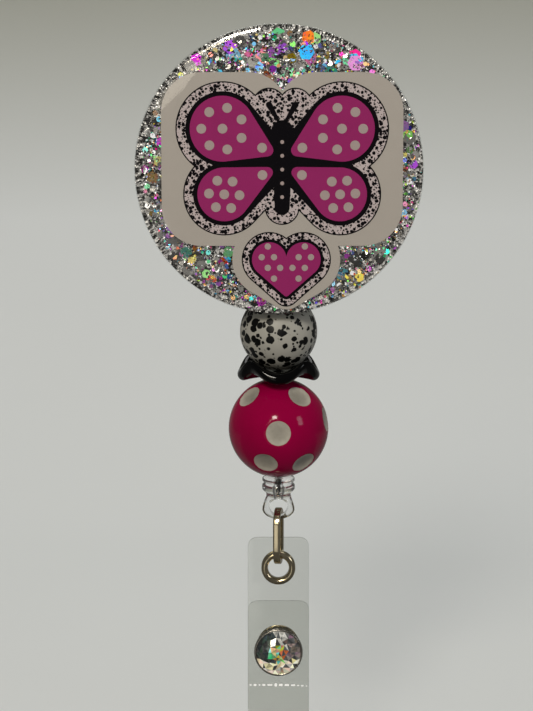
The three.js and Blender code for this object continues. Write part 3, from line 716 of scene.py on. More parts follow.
def topper_flakes():
    """Hexagonal foil flakes of four sizes lying in the resin round the decal."""
    shapes, tints, painted_glints = [], [], []
    reach, crown_z = DISC_RADIUS - 1.6, DISC.z + 17
    # How many, smallest and largest, greatest tilt, and whether they are vivid ones, glowing as painted
    # glints, that all lie above the decal.
    kinds = (
        (15, 0.9, 1.6, 2, True),
        (95, 0.7, 1.3, 3, False),
        (620, 0.3, 0.6, 10, False),
        (3600, 0.11, 0.24, 30, False),
    )
    for count, smallest, largest, tilt, crown_only in kinds:
        made = 0
        while made < count:
            radius = reach * sqrt(rng.random())
            x, z = polar(radius, rng.uniform(0, 2 * pi), DISC.x, DISC.z)
            size = rng.uniform(smallest, largest)
            clear_of_decal = sticker_distance(np.array(x), np.array(z))
            if clear_of_decal < (0.8 if crown_only else -0.3) or (crown_only and z < crown_z):
                continue
            made += 1
            faces = tube_faces(2, 6, False)
            shapes.append((flake(x, z, size, tilt), faces))
            tint, painted_glint = flake_colour(size, crown_only)
            tints += [tint] * len(faces)
            painted_glints += [painted_glint] * len(faces)
    points, faces = joined(*shapes)
    mesh = bpy.data.meshes.new("topper_flakes")
    mesh.from_pydata([tuple(c * MM for c in p) for p in points], [], faces)
    colour_faces(mesh, tints, painted_glints)
    mesh.materials.append(FOIL)
    place(shown("topper_flakes", mesh), "reel", "glitter")


def colour_faces(mesh, tints, painted_glints):
    """Gives each face its colour and its glow (a painted glint), at its corners."""
    for name, values in (("tint", tints), ("painted_glint", painted_glints)):
        layer = mesh.color_attributes.new(name, "FLOAT_COLOR", "CORNER")
        sizes = [len(p.vertices) for p in mesh.polygons]
        flat = np.repeat(np.array(values, np.float32), sizes, axis=0)
        layer.data.foreach_set("color", flat.ravel())


def wing_dots(capsule):
    """White dots over a wing: a ring in its broad end, one in the ring's middle, one towards the body."""
    ax, az, _, bx, bz, rb = capsule
    count = 7 if rb > 6 else 6
    first = atan2(bz - az, bx - ax) + pi / count
    ring = [polar(rb - 2.3, first + turn, bx, bz) for turn in turns(count)]
    return [(bx, bz), *ring, point_along(capsule, 0.22)]


def heart_dots():
    """Dots on a staggered grid, kept where they lie well inside the heart."""
    inside = nearest_of(HEART_LOBES)
    pitch = 2.35
    dots = []
    for row in range(-4, 5):
        for column in range(-4, 5):
            x = HEART[0] + (column + 0.5 * ((row + 1) % 2)) * pitch
            z = HEART[1] - 18.6 + row * pitch * 0.87
            if inside(np.array(x), np.array(z)) < -0.75:
                dots.append((x, z))
    return dots


def pulled_in(wing):
    """A wing without its narrow root, so that a black gap is left beside the body and between the wings."""
    _, _, root, bx, bz, tip = wing
    return (*point_along(wing, 0.12), root * 0.62, bx, bz, tip - 0.1)


def topper_decal():
    """White cut vinyl, then the print on it as thin layers: line, speckled band, black, pink, dots."""
    cut_line = trace(sticker_distance, 0, (ART[0], DISC.z - 8), 720)
    base = build("decal_vinyl", prism(cut_line, DECAL_FRONT, DECAL_BACK), VINYL_WHITE)
    place(base, "reel", "printed_vinyl", "decal")
    whole, solid = nearest_of([*WINGS, BODY, *FEELERS]), nearest_of([*WINGS, BODY])
    heart, heart_middle = nearest_of(HEART_LOBES), (HEART[0], HEART[1] - 20.3)
    feelers = [trace(nearest_of([f]), 0, point_along(f, 0.5), 60) for f in FEELERS]
    wings = [trace(nearest_of([pulled_in(w)]), 0, point_along(w, 1), 240) for w in WINGS]
    dots = [circle(0.92, x, z) for w in WINGS for x, z in wing_dots(w)]
    dots += [circle(0.6, x, z) for x, z in heart_dots()]
    dots += [circle(0.36, ART[0], ART[1] + 3.6 - 2.6 * k) for k in range(5)]
    printed = [
        ("line", BLACK_INK, [trace(whole, 2.6, ART, 720), trace(heart, 1.95, heart_middle)]),
        ("band", DALMATIAN, [trace(whole, 2.36, ART, 720), trace(heart, 1.72, heart_middle)]),
        ("black", BLACK_INK, [trace(solid, 0.72, ART, 720), trace(heart, 0.55, heart_middle), *feelers]),
        ("pink", PINK_INK, [*wings, trace(heart, 0, heart_middle)]),
        ("dots", DOT_INK, dots),
    ]
    for height, (name, material, outlines) in enumerate(printed, 1):
        front = DECAL_FRONT - PRINT_LAYER * height
        shapes = [prism(outline, front, DECAL_FRONT - 0.002) for outline in outlines]
        place(build("decal_" + name, joined(*shapes), material), "reel", "printed_vinyl")


def topper_dome():
    """The clear cap: a flat middle that curves down to a round shoulder, hollow over the decal."""
    edge, crown = DOME_BACK - 0.3, DOME_FRONT + 0.2
    shoulder = 6.5
    flat = DISC_RADIUS - shoulder
    skirt = DISC_RADIUS - 0.5
    profile = [(0, edge), (skirt, edge), (skirt, DOME_BACK), (DISC_RADIUS, DOME_BACK)]
    for k in range(17):
        angle = pi / 2 * k / 16
        profile.append((flat + shoulder * cos(angle), edge + (crown - edge) * sin(angle)))
    for k in range(1, 13):
        share = 1 - k / 12
        profile.append((flat * share, DOME_FRONT + (crown - DOME_FRONT) * share**3))
    dome = ("reel", "clear_resin", "resin_dome")
    turned("topper_dome", profile, DISC_AT, DOME_CLEAR, *dome, sharp=50, segments=240)


def topper_pad():
    front, back = depths("adhesive_pad")
    radius = half_width("adhesive_pad")
    waist = (radius - 0.25, (front + back) / 2)
    profile = [(0, front), (radius, front), waist, (radius, back), (0, back)]
    turned("topper_pad", profile, REEL_AT, FOAM, "reel", "foam_pad", "adhesive_pad", soft=0.2)


# ---------- reel ----------

CASE_WALL = 1.3
COLLAR_TUBE = 1.6  # the outside radius of the collar where it passes through the case
COLLAR_HOLE = COLLAR_TUBE + 0.06


def groove(start, end, face, deep):
    """Corners of a shallow groove in a face, from the radius start to the radius end."""
    slope = 0.2 if end > start else -0.2
    return [(start, face), (start + slope, face + deep), (end - slope, face + deep), (end, face)]


def reel_case():
    """Front case with its collar hole, and the back case snapped into it, with a parting line between."""
    front, seam = depths("case_front")
    back = high("case_back").y
    radius = half_width("case_front")
    inside = radius - CASE_WALL
    outer = [
        (0, front), *groove(11.4, 12.2, front, 0.25), (radius, front), (radius, seam), (inside, seam),
        (inside, front + CASE_WALL), (0, front + CASE_WALL),
    ]
    outer = rounded(outer, 1.0, 6)
    shell = build("reel_case_front", lathe(outer, REEL_AT, segments=144), CASE_WHITE)
    cut(shell, drill(COLLAR_HOLE, 2), (REEL.x, AXIS_Y, REEL.z - radius), "Z", 48)
    place(shell, "reel", "case_plastic", "case_front")
    bore, inner = 1.45, back - CASE_WALL
    lip_in, lip_out, lip_end = radius - 2.4, radius - 1.5, inner - 1.2  # the lip inside the front case
    edge = radius - 0.02
    rear = [
        (bore, inner), (lip_in, inner), (lip_in, lip_end), (lip_out, lip_end), (lip_out, inner),
        (edge, inner), (edge, inner + 0.3), (radius, back), *groove(8.4, 7.6, back, -0.2), (bore, back),
    ]
    rear = rounded(rear, 0.9, 6, closed=True)
    cap = ("reel", "case_plastic", "case_back")
    turned("reel_case_back", rear, REEL_AT, CASE_WHITE, *cap, segments=144, closed=True)


def reel_collar():
    bottom, top = low("cord_bushing").z, high("cord_bushing").z
    flange, bore, step = half_width("cord_bushing"), 0.9, bottom + 0.85
    profile = [
        (bore, bottom), (flange - 0.2, bottom), (flange, bottom + 0.25), (flange, step), (COLLAR_TUBE, step),
        (COLLAR_TUBE, top), (bore, top),
    ]
    collar = ("reel", "case_plastic", "cord_bushing")
    at = (REEL.x, AXIS_Y, 0)
    turned("reel_collar", profile, at, CASE_WHITE, *collar, 0.22, axis="Z", segments=72, closed=True)


def swivel_rivet():
    front, back = depths("swivel_rivet")
    head, shank, cap = 2.3, 1.4, 3.2
    profile = [
        (0, front), (head, front), (head, front + 0.65), (shank, front + 0.7),
        (shank, back - 0.7), (cap, back - 0.7), (cap - 0.1, back - 0.35),
        (2.0, back), (0.9, back), (0.7, back - 0.3), (0, back - 0.3),
    ]
    turned("reel_rivet", profile, REEL_AT, CLIP_STEEL, "reel", "clip_steel", "swivel_rivet", soft=0.3)


# ---------- beads ----------

WHITE_BORE = 1.1
PINK_BORE = 1.2
SPACER_BORE = 1.1


def ball(name, centre, radius, material, depth_of):
    """A fine ball whose surface is let in by depth_of a unit direction."""
    worked = bmesh.new()
    bmesh.ops.create_icosphere(worked, subdivisions=6, radius=1)
    for vertex in worked.verts:
        out = vertex.co.normalized()
        vertex.co = (centre + out * (radius - depth_of(out))) * MM
    mesh = bpy.data.meshes.new(name)
    worked.to_mesh(mesh)
    worked.free()
    mesh.shade_smooth()
    mesh.materials.append(material)
    return shown(name, mesh)


def bore_depth(out, radius, bore):
    """How far the ends of a bead's bore let the surface in."""
    off = hypot(out.x, out.y) * radius
    if off < bore:
        return radius * 0.3
    return 0.25 * exp(-((off - bore) / 0.35) ** 2)


def dot_directions():
    """Three staggered rows of dots round the bead, the pattern tipped towards the viewer."""
    tip = Matrix.Rotation(radians(-9), 3, "X")
    # Each row: its latitude, where it starts, the angle from dot to dot, and how many there are.
    rows = [(40, -52, 86, 4), (0, -0.5, 80, 4), (-45, -22, 67.5, 5)]
    out = []
    for latitude, first, spacing, count in rows:
        for k in range(count):
            rise = radians(latitude or (-6, 10)[k % 2])
            across, toward = polar(cos(rise), radians(first + spacing * k - 90))
            out.append(tip @ Vector((across, toward, sin(rise))))
    return out


def pink_bead():
    radius = half_width("pink_bead")
    dots, spread = dot_directions(), radians(14.2)

    def depth(out):
        angle = min(out.angle(d) for d in dots)
        dish = 0.75 * max(0.0, 1 - (angle / spread) ** 2) ** 0.7
        return max(dish, bore_depth(out, radius, PINK_BORE))

    piece = ball("bead_pink", PINK, radius, pink_gloss(dots, spread), depth)
    place(piece, "pink_bead", "pink_acrylic", "pink_bead")


def white_bead():
    radius = half_width("white_bead")
    piece = ball("bead_white", WHITE, radius, SPLATTER, lambda out: bore_depth(out, radius, WHITE_BORE))
    place(piece, "white_bead", "white_silicone", "white_bead")


def wavy_spacer():
    """A thin washer whose rolled rim waves four times round, with broad troughs and sharper crests."""
    radius, rim, web = half_width("wavy_spacer"), 1.25, 0.5
    wave, lift = 1.4, 1.15
    inner = 26
    section = [(SPACER_BORE, 0.45)]
    for k in range(1, inner + 1):
        reach = SPACER_BORE + (radius - rim - SPACER_BORE) * k / inner
        section.append((reach, web + (rim - web) * (k / inner) ** 2))
    section += [polar(rim, pi / 2 - pi * k / 12, radius - rim) for k in range(1, 12)]
    section += [(reach, -height) for reach, height in reversed(section[: inner + 1])]
    around = 240
    points = []
    for turn in turns(around):
        for reach, height in section:
            swell = ((reach - SPACER_BORE) / (radius - SPACER_BORE)) ** 2
            rise = swell * (lift - wave * (cos(4 * turn) - 0.12 * cos(8 * turn)))
            x, y = polar(reach, turn - pi / 2, 0, AXIS_Y)
            points.append((x, y, SPACER_Z + rise + height))
    shape = (points, tube_faces(around, len(section), True))
    place(build("spacer_black", shape, BLACK_GLOSS, 60), "wavy_spacer", "black_gloss", "wavy_spacer")


# ---------- cord, stopper and link ----------

RIM_Z = high("cord_stopper").z
CORD_SWELL_AT = (0.0, 0.4, 1.55, 1.7)  # below the rim the cord bunches up, then a small hole pinches it
CORD_SWELL = (1.0, 1.22, 1.22, 0.24)
STOPPER_HOLE = (1.68, 2.05)  # the small hole's top and bottom, below the rim
KNOT_BELOW = 2.7
KNOT_TURN = 0.52


def cord_width(below):
    """The cord's thickness, as a share of its usual one, this far below the stopper's rim."""
    return float(np.interp(below, CORD_SWELL_AT, CORD_SWELL))


def cord_lead():
    """The cord from the collar to its knot; the short stretch under the collar is what draws out."""
    top, exit_z = high("cord_lead").z, low("cord_bushing").z
    radius = half_width("cord_lead")
    foot = RIM_Z - KNOT_BELOW + KNOT_TURN
    heights = [top - (top - RIM_Z) * k / 60 for k in range(60)]
    heights += [RIM_Z - (RIM_Z - foot) * k / 24 for k in range(25)]
    points, faces = sweep([Vector((0, AXIS_Y, z)) for z in heights], circle(1, steps=20))
    for i, (x, y, z) in enumerate(points):
        wide = radius * cord_width(RIM_Z - z)
        points[i] = (x * wide, AXIS_Y + (y - AXIS_Y) * wide, z)
    piece = build("cord_drawn", (points, faces), CORD, 80)
    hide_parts("cord_lead")
    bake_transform(piece)


def cord_knot():
    """An overhand knot: two crossed turns and a short cut end."""
    centre = Vector((0, AXIS_Y, RIM_Z - KNOT_BELOW))
    thick = KNOT_TURN / 2
    section = circle(thick, steps=14)
    shapes = []
    for tilt, shift in ((35, 0.1), (-40, -0.12)):
        turn = Matrix.Rotation(radians(tilt), 3, "Y") @ Matrix.Rotation(radians(25), 3, "X")
        middle_of_turn = centre + Vector((0, 0, shift))
        path = [turn @ Vector((a, b, 0)) + middle_of_turn for a, b in circle(thick, steps=36)]
        shapes.append(sweep(path, section, turn @ Vector((0, 0, 1)), closed=True))
    root, run = centre + Vector((-0.05, -0.1, -0.1)), Vector((-0.1, 0, -0.4))
    tail = [root + run * (k / 6) for k in range(7)]
    shapes.append(sweep(tail, section, Vector((0, 1, 0))))
    place(build("cord_knot_turns", joined(*shapes), CORD, 80), "cord_end", "cord", "cord_knot")


def cord_stopper():
    """Clear moulding: two ribs, a waist, and a flattened bell with the link's eye through it."""
    bottom = low("cord_stopper").z
    eye_z, eye_radius = bottom + 2.55, 1.8
    # Each section: how far below the rim, half its width, and half its depth.
    sections = [
        (0, 2.7, 2.7), (0.12, 3.0, 3.0), (0.35, 3.2, 3.2), (0.85, 3.2, 3.2), (1.1, 2.95, 2.95),
        (1.25, 2.72, 2.72), (1.4, 2.95, 2.95), (1.65, 3.2, 3.2), (2.0, 3.25, 3.25), (2.6, 3.2, 3.2),
        (2.95, 2.9, 2.8), (3.2, 2.55, 2.3), (3.6, 2.4, 1.9), (4.3, 2.55, 1.55), (5.2, 2.85, 1.35),
        (6.2, 3.15, 1.3), (6.9, 3.2, 1.3), (7.5, 2.95, 1.3), (8.05, 2.4, 1.25), (8.45, 1.55, 1.1),
        (8.7, 0.6, 0.7),
    ]
    scale = (RIM_Z - bottom) / 8.75
    around = 96
    points = []
    for drop, wide, deep in sections:
        for angle in turns(around):
            points.append((wide * cos(angle), AXIS_Y + deep * sin(angle), RIM_Z - drop * scale))
    shape = (points, tube_faces(len(sections), around, False))
    piece = build("stopper_body", shape, STOPPER_CLEAR, 60)
    cut(piece, drill(eye_radius, 4), (0, AXIS_Y, eye_z), "Y", 64)
    upper, lower = (RIM_Z - below for below in STOPPER_HOLE)
    mouth, pinch, well = 0.68, 0.2, 0.85  # radii of the bore above, in and below the small hole
    profile = rounded(
        [(0, eye_z), (well, eye_z), (well, lower), (pinch, lower), (pinch, upper), (mouth, upper),
         (mouth, RIM_Z + 1), (0, RIM_Z + 1)],
        0.1,
    )
    cut(piece, profile, CORD_AT, "Z", 48)
    settle(piece, 50)
    place(piece, "cord_end", "clear_moulded", "cord_stopper")


def strap_link():
    """Flat wire bent to a long loop."""
    lo, hi = low("strap_link"), high("strap_link")
    width, wire = hi.x - lo.x, 0.9
    bend = (hi.y - lo.y - wire) / 2
    path = []
    for start, z in ((0, hi.z - wire / 2 - bend), (pi, lo.z + wire / 2 + bend)):
        for k in range(25):
            path.append(Vector((0, *polar(bend, start + pi * k / 24, AXIS_Y, z))))
    section = rounded(corners(-width / 2, -wire / 2, width / 2, wire / 2), 0.3, closed=True)
    points, faces = sweep(path, section, closed=True)
    twist = Matrix.Rotation(radians(-8), 3, "Z")  # it never hangs quite square to the strap
    axis = Vector(CORD_AT)
    points = [tuple(twist @ (Vector(p) - axis) + axis) for p in points]
    place(build("link_wire", (points, faces), NICKEL, 60), "link", "nickel", "strap_link")


# ---------- strap ----------

STRAP_TOP = high("strap_back").z
STRAP_HALF = high("strap_back").x
SHEET = high("strap_back").y - low("strap_back").y
FLAP_TOP = high("strap_flap").z
FOLD_Z = high("strap_fold").z
FOLD_RADIUS = (middle("strap_back").y - middle("strap_flap").y) / 2
FOLD_Y = middle("strap_back").y - FOLD_RADIUS
FOLD_DEEP = FOLD_Z - low("strap_fold").z
FOLD_FLAT = FOLD_RADIUS + SHEET / 2 - FOLD_DEEP  # half the flat across the fold's bottom
BACK_RUN = STRAP_TOP - FOLD_Z  # lengths along the strip, of the back and of the bend
BEND_RUN = pi * (FOLD_RADIUS - FOLD_FLAT) + 2 * FOLD_FLAT
EYELET = middle("eyelet")
EYELET_AT = (0, 0, EYELET.z)
EYELET_BARREL = 2.4
STRAP_HOLE = EYELET_BARREL + 0.05
SNAP = middle("snap_bezel")
SNAP_AT = (0, 0, SNAP.z)


def strap_sheet():
    """One vinyl strip, cut flat and folded over."""
    total = BACK_RUN + BEND_RUN + FLAP_TOP - FOLD_Z
    outline = rounded(corners(-STRAP_HALF, 0, STRAP_HALF, total), 2.2, 8, closed=True)
    sheet = build("strap_sheet", prism(outline, -SHEET / 2, SHEET / 2), VINYL_CLEAR)
    cut(sheet, drill(STRAP_HOLE, 2), (0, 0, STRAP_TOP - EYELET.z), "Y", 64)
    bevelled(sheet, 0.14, 3, 50)
    settle(sheet)
    worked = bmesh.new()
    worked.from_mesh(sheet.data)
    creases = [BACK_RUN + BEND_RUN * k / 20 for k in range(21)]
    below_eyelet, above_corners, spacing = 9.5, total - 2.5, 1.6
    even = np.arange(below_eyelet, above_corners, spacing)
    creases += [s for s in even if not BACK_RUN < s < BACK_RUN + BEND_RUN]
    for s in creases:
        geometry = worked.verts[:] + worked.edges[:] + worked.faces[:]
        bmesh.ops.bisect_plane(worked, geom=geometry, plane_co=(0, 0, s * MM), plane_no=(0, 0, 1))
    for vertex in worked.verts:
        x, t, s = vertex.co / MM
        vertex.co = Vector((x, *bent_strip(t, s))) * MM
    bmesh.ops.recalc_face_normals(worked, faces=worked.faces)
    worked.to_mesh(sheet.data)
    worked.free()
    sheet.data.set_sharp_from_angle(angle=radians(40))
    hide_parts("strap_back", "strap_fold", "strap_flap")
    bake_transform(sheet)


def bent_strip(t, s):
    """Where a point of the flat strip goes: t from its mid-plane, s along it from the eyelet's end."""
    if s <= BACK_RUN:
        return FOLD_Y + FOLD_RADIUS + t, STRAP_TOP - s
    if s >= BACK_RUN + BEND_RUN:
        return FOLD_Y - FOLD_RADIUS - t, FOLD_Z + s - BACK_RUN - BEND_RUN
    along, radius = s - BACK_RUN, FOLD_RADIUS - FOLD_FLAT
    quarter = pi / 2 * radius
    flat = min(max(along - quarter, 0), 2 * FOLD_FLAT)
    angle = (along - flat) / radius
    return FOLD_Y + FOLD_FLAT - flat + (radius + t) * cos(angle), FOLD_Z - (radius + t) * sin(angle)


def strap_marks():
    """A row of short raised bars pressed across the flap below the snap; they glow white, a painted glint.
    """
    face, margin = low("strap_flap").y, 0.35
    # Each bar: its length, and half its height.
    marks = [
        (0.4, 0.14), (0.55, 0.18), (0.35, 0.14), (0.6, 0.16), (1.0, 0.13), (0.5, 0.3),
        (0.7, 0.2), (0.9, 0.17), (0.8, 0.14), (0.35, 0.1), (0.5, 0.12), (0.3, 0.1),
    ]
    gap = (2 * (STRAP_HALF - margin) - sum(length for length, _ in marks)) / (len(marks) - 1)
    x = margin - STRAP_HALF
    shapes = []
    for length, half in marks:
        z = SNAP.z - 6.9 - 0.3 * max(0, x / STRAP_HALF) ** 2
        outline = rounded(corners(x, z - half, x + length, z + half), 0.15, 3, closed=True)
        shapes.append(prism(outline, face - 0.09, face + 0.02))
        x += length + gap
    place(build("strap_marks", joined(*shapes), VINYL_MARK_PAINTED_GLINT), "flap", "clear_vinyl")


def eyelet():
    """Rolled front flange and barrel, and the washer behind the strap."""
    front, back = depths("eyelet")
    face = low("strap_back").y
    outer, hole = high("eyelet").x, 2.1
    wide, flange = (outer - hole) / 2, face - 0.03
    roll = [(EYELET_BARREL, face)]
    for k in range(17):
        angle = pi * k / 16
        roll.append((hole + wide + wide * cos(angle), flange - (flange - front) * sin(angle)))
    roll += [(hole, back - 0.45), (hole + 0.06, back - 0.2), (hole + 0.18, back), (EYELET_BARREL, back)]
    fine = {"sharp": 60, "segments": 120, "closed": True}
    turned("eyelet_roll", roll, EYELET_AT, NICKEL, "strap", "nickel", "eyelet", **fine)
    front, back = depths("eyelet_washer")
    ring = corners(STRAP_HOLE, front, outer, back)
    turned("eyelet_ring", ring, EYELET_AT, NICKEL, "strap", "nickel", "eyelet_washer", 0.2, closed=True)


# ---------- snap ----------


def snap_bezel():
    front, back = depths("snap_bezel")
    flange = high("strap_flap").y - SHEET - 0.05
    rim, post = high("snap_bezel").x, 1.35
    profile = [
        (0, flange - 0.35), (rim - 0.45, flange - 0.35), (rim - 0.45, front), (rim - 0.12, front),
        (rim, flange - 0.5), (rim, flange), (post, flange), (post, back), (0, back),
    ]
    turned("snap_cup", profile, SNAP_AT, SNAP_METAL, "flap", "snap_metal", "snap_bezel", 0.16, segments=120)


def gem_colour(x, z):
    """A facet's foil colour and its glow, painted by where the facet lies: painted flashes in the middle and
    at the foot, painted shade on the left, painted highlight bars on top.
    """
    reach, luck = hypot(x, z), rng.random()
    if reach < 0.42 and luck < 0.75:
        hue = rng.choice([0.03, 0.07, 0.12, 0.2, 0.32, 0.38, 0.48])
        colour = colorsys.hsv_to_rgb(hue, rng.uniform(0.6, 1.0), 0.9)
        painted_glint = rng.uniform(0.2, 0.9)
    elif z < -0.3 and luck < 0.66:
        colour = colorsys.hsv_to_rgb(rng.choice([0.06, 0.11, 0.14, 0.17]), rng.uniform(0.1, 0.6), 1.0)
        painted_glint = rng.uniform(0.3, 1.6)
    elif z > 0.35 and abs(x) < 0.45 and luck < 0.4:
        colour, painted_glint = (0.95, 0.93, 0.84), rng.uniform(0.3, 1.0)
    elif x > 0.3 and luck < 0.6:
        hue = rng.choice([0.03, 0.08, 0.9])
        colour = colorsys.hsv_to_rgb(hue, rng.uniform(0.15, 0.4), rng.uniform(0.3, 0.8))
        painted_glint = rng.uniform(0, 0.3)
    elif x < -0.2:
        colour = colorsys.hsv_to_rgb(rng.choice([0.36, 0.42, 0.55]), 0.4 * luck, rng.uniform(0.08, 0.34))
        painted_glint = 0.05
    else:
        grey = rng.uniform(0.18, 0.5)
        colour, painted_glint = (grey, grey * 1.04, grey * 1.06), 0.05
    return (*colour, 1), dimmed(colour, painted_glint)


def snap_gem():
    """A cut stone: a dome of small uneven facets on a flat foot."""
    front, back = depths("snap_gem")
    radius, rise = high("snap_gem").x, back - front
    # Each ring of corners: its share of the radius, its share of the height, and how many there are.
    rings = [
        (0.0, 1.0, 1), (0.15, 0.99, 5), (0.32, 0.96, 9), (0.49, 0.9, 13),
        (0.66, 0.8, 16), (0.83, 0.63, 19), (1.0, 0.28, 24),
    ]
    shares, lifts, _ = zip(*rings)
    spots = []
    for share, _, count in rings:
        loose = 0.0 if share == 1 else 1.0
        for k in range(count):
            angle = 2 * pi * (k + loose * rng.uniform(-0.4, 0.4)) / count
            spots.append(Vector(polar(share * (1 + loose * rng.uniform(-0.12, 0.12)), angle)))
    spots, _, faces = delaunay_2d_cdt(spots, [], [], 0, 1e-6)[:3]
    points = []
    for spot in spots:
        height = rise * float(np.interp(spot.length, shares, lifts))
        points.append((radius * spot.x, back - height, SNAP.z + radius * spot.y))
    edge = [k for k, spot in enumerate(spots) if spot.length > 0.99]
    girdle = sorted(edge, key=lambda k: atan2(spots[k].y, spots[k].x))
    floor = [len(points) + k for k in range(len(girdle))]
    points += [(points[k][0], back, points[k][2]) for k in girdle]
    faces = [list(face) for face in faces]
    for k in range(len(girdle)):
        after = (k + 1) % len(girdle)
        faces.append([girdle[k], floor[k], floor[after], girdle[after]])
    faces.append(floor)
    piece = build("snap_stone", (points, faces), STONE, 1)
    middles = [face.center / MM for face in piece.data.polygons]
    # painted light: each facet's colour and glow follow where it lies on the stone
    colours = [gem_colour(at.x / radius, (at.z - SNAP.z) / radius) for at in middles]
    colour_faces(piece.data, *zip(*colours))
    place(piece, "flap", "rhinestone", "snap_gem")


def snap_hidden_half():
    """Socket behind the flap, stud on the back strip, and the post cap behind it."""
    front, back = depths("snap_socket")
    outer, hole = high("snap_socket").x, 1.95
    ring = [
        (hole, front), (outer, front), (outer, front + 0.5), (3.1, front + 0.55), (3.0, back), (hole, back),
    ]
    turned("snap_socket_ring", ring, SNAP_AT, NICKEL, "flap", "nickel", "snap_socket", 0.25, closed=True)
    front, back = depths("snap_stud")
    flange, hollow = 4, (1.35, back - 0.7)
    stud = [
        (0, front), (1.2, front), (1.6, front + 0.35), (1.4, back - 0.5),
        (flange, back - 0.4), (flange, back), (hollow[0], back), hollow, (0, hollow[1]),
    ]
    turned("snap_stud_ball", stud, SNAP_AT, NICKEL, "strap", "nickel", "snap_stud", 0.2)
    front, back = depths("snap_post")
    post, head, hollow = 1.2, 4.3, (1.3, back - 0.3)
    cap = [
        (0, front), (post, front), (post, back - 0.7), (head, back - 0.7), (head, back - 0.3), (3.6, back),
        (1.6, back), hollow, (0, hollow[1]),
    ]
    turned("snap_post_cap", cap, SNAP_AT, NICKEL, "strap", "nickel", "snap_post", 0.2)


# ---------- pieces kept from the CAD model ----------


def finish_kept_nodes():
    """Materials, and rounded edges, on the CAD pieces whose shape is already right."""
    kept = {
        "clip_base": (CLIP_STEEL, 0.12), "clip_lever": (CLIP_STEEL, 0.12), "clip_pin": (CLIP_STEEL, 0.12),
        "clip_spring": (SPRING_STEEL, 0), "spool": (SPOOL_GREY, 0.15), "cord_winding": (CORD, 0.3),
        "mainspring": (SPRING_STEEL, 0), "spring_cover": (SPOOL_GREY, 0.1), "cord_inner_run": (CORD, 0),
    }
    for name, (material, width) in kept.items():
        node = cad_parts[name]
        if not node.material_slots:
            node.data.materials.append(material)
        node.material_slots[0].link = "OBJECT"
        node.material_slots[0].material = material
        if width:
            bevelled(node, width, 2, 30)


# ---------- stage, light and camera ----------


def stage():
    """A pale seamless sweep: floor, a quarter turn, and a wall behind, with painted shade making it a little
    darker towards its top.
    """
    floor_z = low("strap_fold").z - 22
    radius, wall_y, front_y, top_z, half = 260, 520, 40, 700, 460
    line = [(front_y, floor_z)]
    for k in range(25):
        line.append(polar(radius, pi / 2 * k / 24 - pi / 2, wall_y - radius, floor_z + radius))
    line.append((wall_y, top_z))
    points = [(x, y, z) for y, z in line for x in (-half, half)]
    faces = [[2 * i, 2 * i + 1, 2 * i + 3, 2 * i + 2] for i in range(len(line) - 1)]
    t = Tree("sweep_pale")
    height = t.node("SeparateXYZ", {"Vector": t.place((0, 0, floor_z))}).outputs["Z"]
    pale, painted_shade_top = rgb(234, 237, 237)[:3], rgb(185, 186, 176)[:3]
    # painted shade: the sweep darkens from pale to grey up its height
    shade = t.ramp(t.math("DIVIDE", height, 320), [(0.0, pale), (0.3, pale), (0.62, painted_shade_top)])
    mottle = t.math("MULTIPLY", t.noise(0.004, 3), 0.12)
    shade = t.mix(mottle, shade, (0.3, 0.3, 0.28, 1))
    path = t.node("LightPath").outputs
    mirrored = t.math("SUBTRACT", path["Is Glossy Ray"], path["Is Transmission Ray"], clamp=True)
    shade = t.mix(t.math("MULTIPLY", mirrored, 0.65), shade, (0.02, 0.02, 0.02, 1))  # dimmer in reflections
    paper = t.finish(t.surface(shade, Roughness=0.9, Specular_IOR_Level=0.0))
    build("sweep", (points, faces), paper, 80)


def face_along(piece, direction):
    """Turns a lamp or a camera to look in a direction, upright."""
    piece.rotation_mode = "QUATERNION"
    piece.rotation_quaternion = direction.to_track_quat("-Z", "Y")


def lamp(name, size, radiance, place_at, target, colour, tall=None):
    """A soft rectangular lamp facing a point, as bright to look at as its radiance."""
    data = bpy.data.lights.new(name, "AREA")
    data.shape = "RECTANGLE"
    data.size, data.size_y = size * MM, (tall or size) * MM
    data.energy = radiance * pi * data.size * data.size_y
    data.color = colour
    piece = shown(name, data)
    piece.location = Vector(place_at) * MM
    face_along(piece, (Vector(target) - Vector(place_at)).normalized())


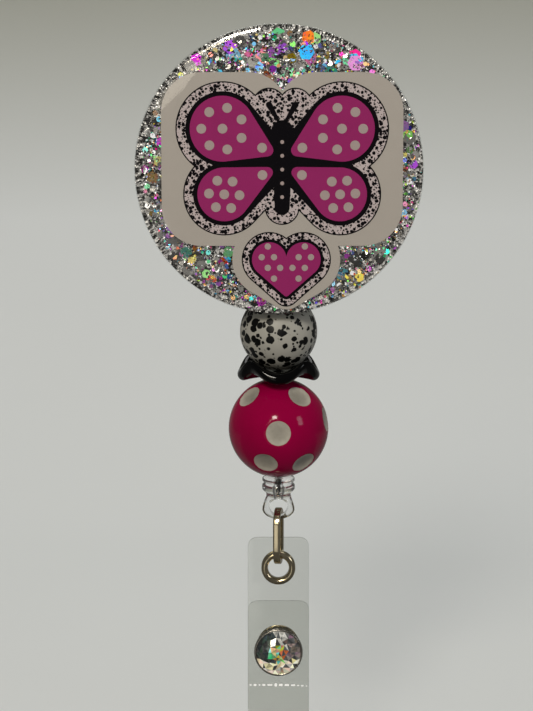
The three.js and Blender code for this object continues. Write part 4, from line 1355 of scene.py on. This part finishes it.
def lights():
    """A dim room that looks pale to the camera, a broad lamp overhead, a key and two warm lamps in front on
    the left, a tall one on the right, and a faint one low on the left."""
    t = Tree("studio", bpy.data.worlds, "OutputWorld")
    room = t.node("Background", {"Color": (1.0, 0.99, 0.96, 1), "Strength": 0.09}).outputs[0]
    pale = t.node("Background", {"Color": (0.5, 0.5, 0.47, 1), "Strength": 1.0}).outputs[0]
    seen = t.node("LightPath").outputs["Is Camera Ray"]
    bpy.context.scene.world = t.finish(t.either(seen, room, pale))
    aim = (0, AXIS_Y, (DISC.z + PINK.z) / 2)
    lamp("overhead", 900, 3.9, (0, 320, 900), (0, 200, 0), (1, 0.99, 0.97), 420)
    lamp("key", 120, 41.0, (-110, -620, 350), aim, (1, 0.95, 0.86))
    lamp("warm", 130, 26.0, (-165, -606, 256), aim, (1, 0.87, 0.62), 28)
    lamp("window", 150, 4.2, (-165, -600, 118), aim, (1, 0.92, 0.76), 90)
    lamp("side", 140, 5.0, (560, -420, 220), aim, (0.95, 0.98, 1), 240)
    lamp("low", 160, 0.8, (-180, -590, -140), aim, (1, 0.97, 0.9), 200)


def camera():
    """Looks along +Y and a little down, with the pink bead where the photograph has it."""
    pitch, lens_px, distance = radians(8), 2020, 400
    tall_px, sensor = 711, 36
    bead_right, bead_down = 12, 72  # the pink bead's place from the picture's middle
    forward = Vector((0, cos(pitch), -sin(pitch)))
    up = Vector((0, sin(pitch), cos(pitch)))
    ray = forward * lens_px + Vector((1, 0, 0)) * bead_right - up * bead_down
    data = bpy.data.cameras.new("camera")
    data.sensor_width = sensor
    data.lens = sensor * lens_px / tall_px
    data.clip_start, data.clip_end = 0.01, 50
    piece = shown("camera", data)
    piece.location = (PINK - ray * (distance / lens_px)) * MM
    face_along(piece, forward)
    bpy.context.scene.camera = piece
    bpy.context.scene.view_settings.view_transform = "Standard"


camera()
topper_blank()
topper_coat()
topper_flakes()
topper_decal()
topper_dome()
topper_pad()
reel_case()
reel_collar()
swivel_rivet()
white_bead()
wavy_spacer()
pink_bead()
cord_lead()
cord_knot()
cord_stopper()
strap_link()
strap_sheet()
strap_marks()
eyelet()
snap_bezel()
snap_gem()
snap_hidden_half()
finish_kept_nodes()
stage()
lights()
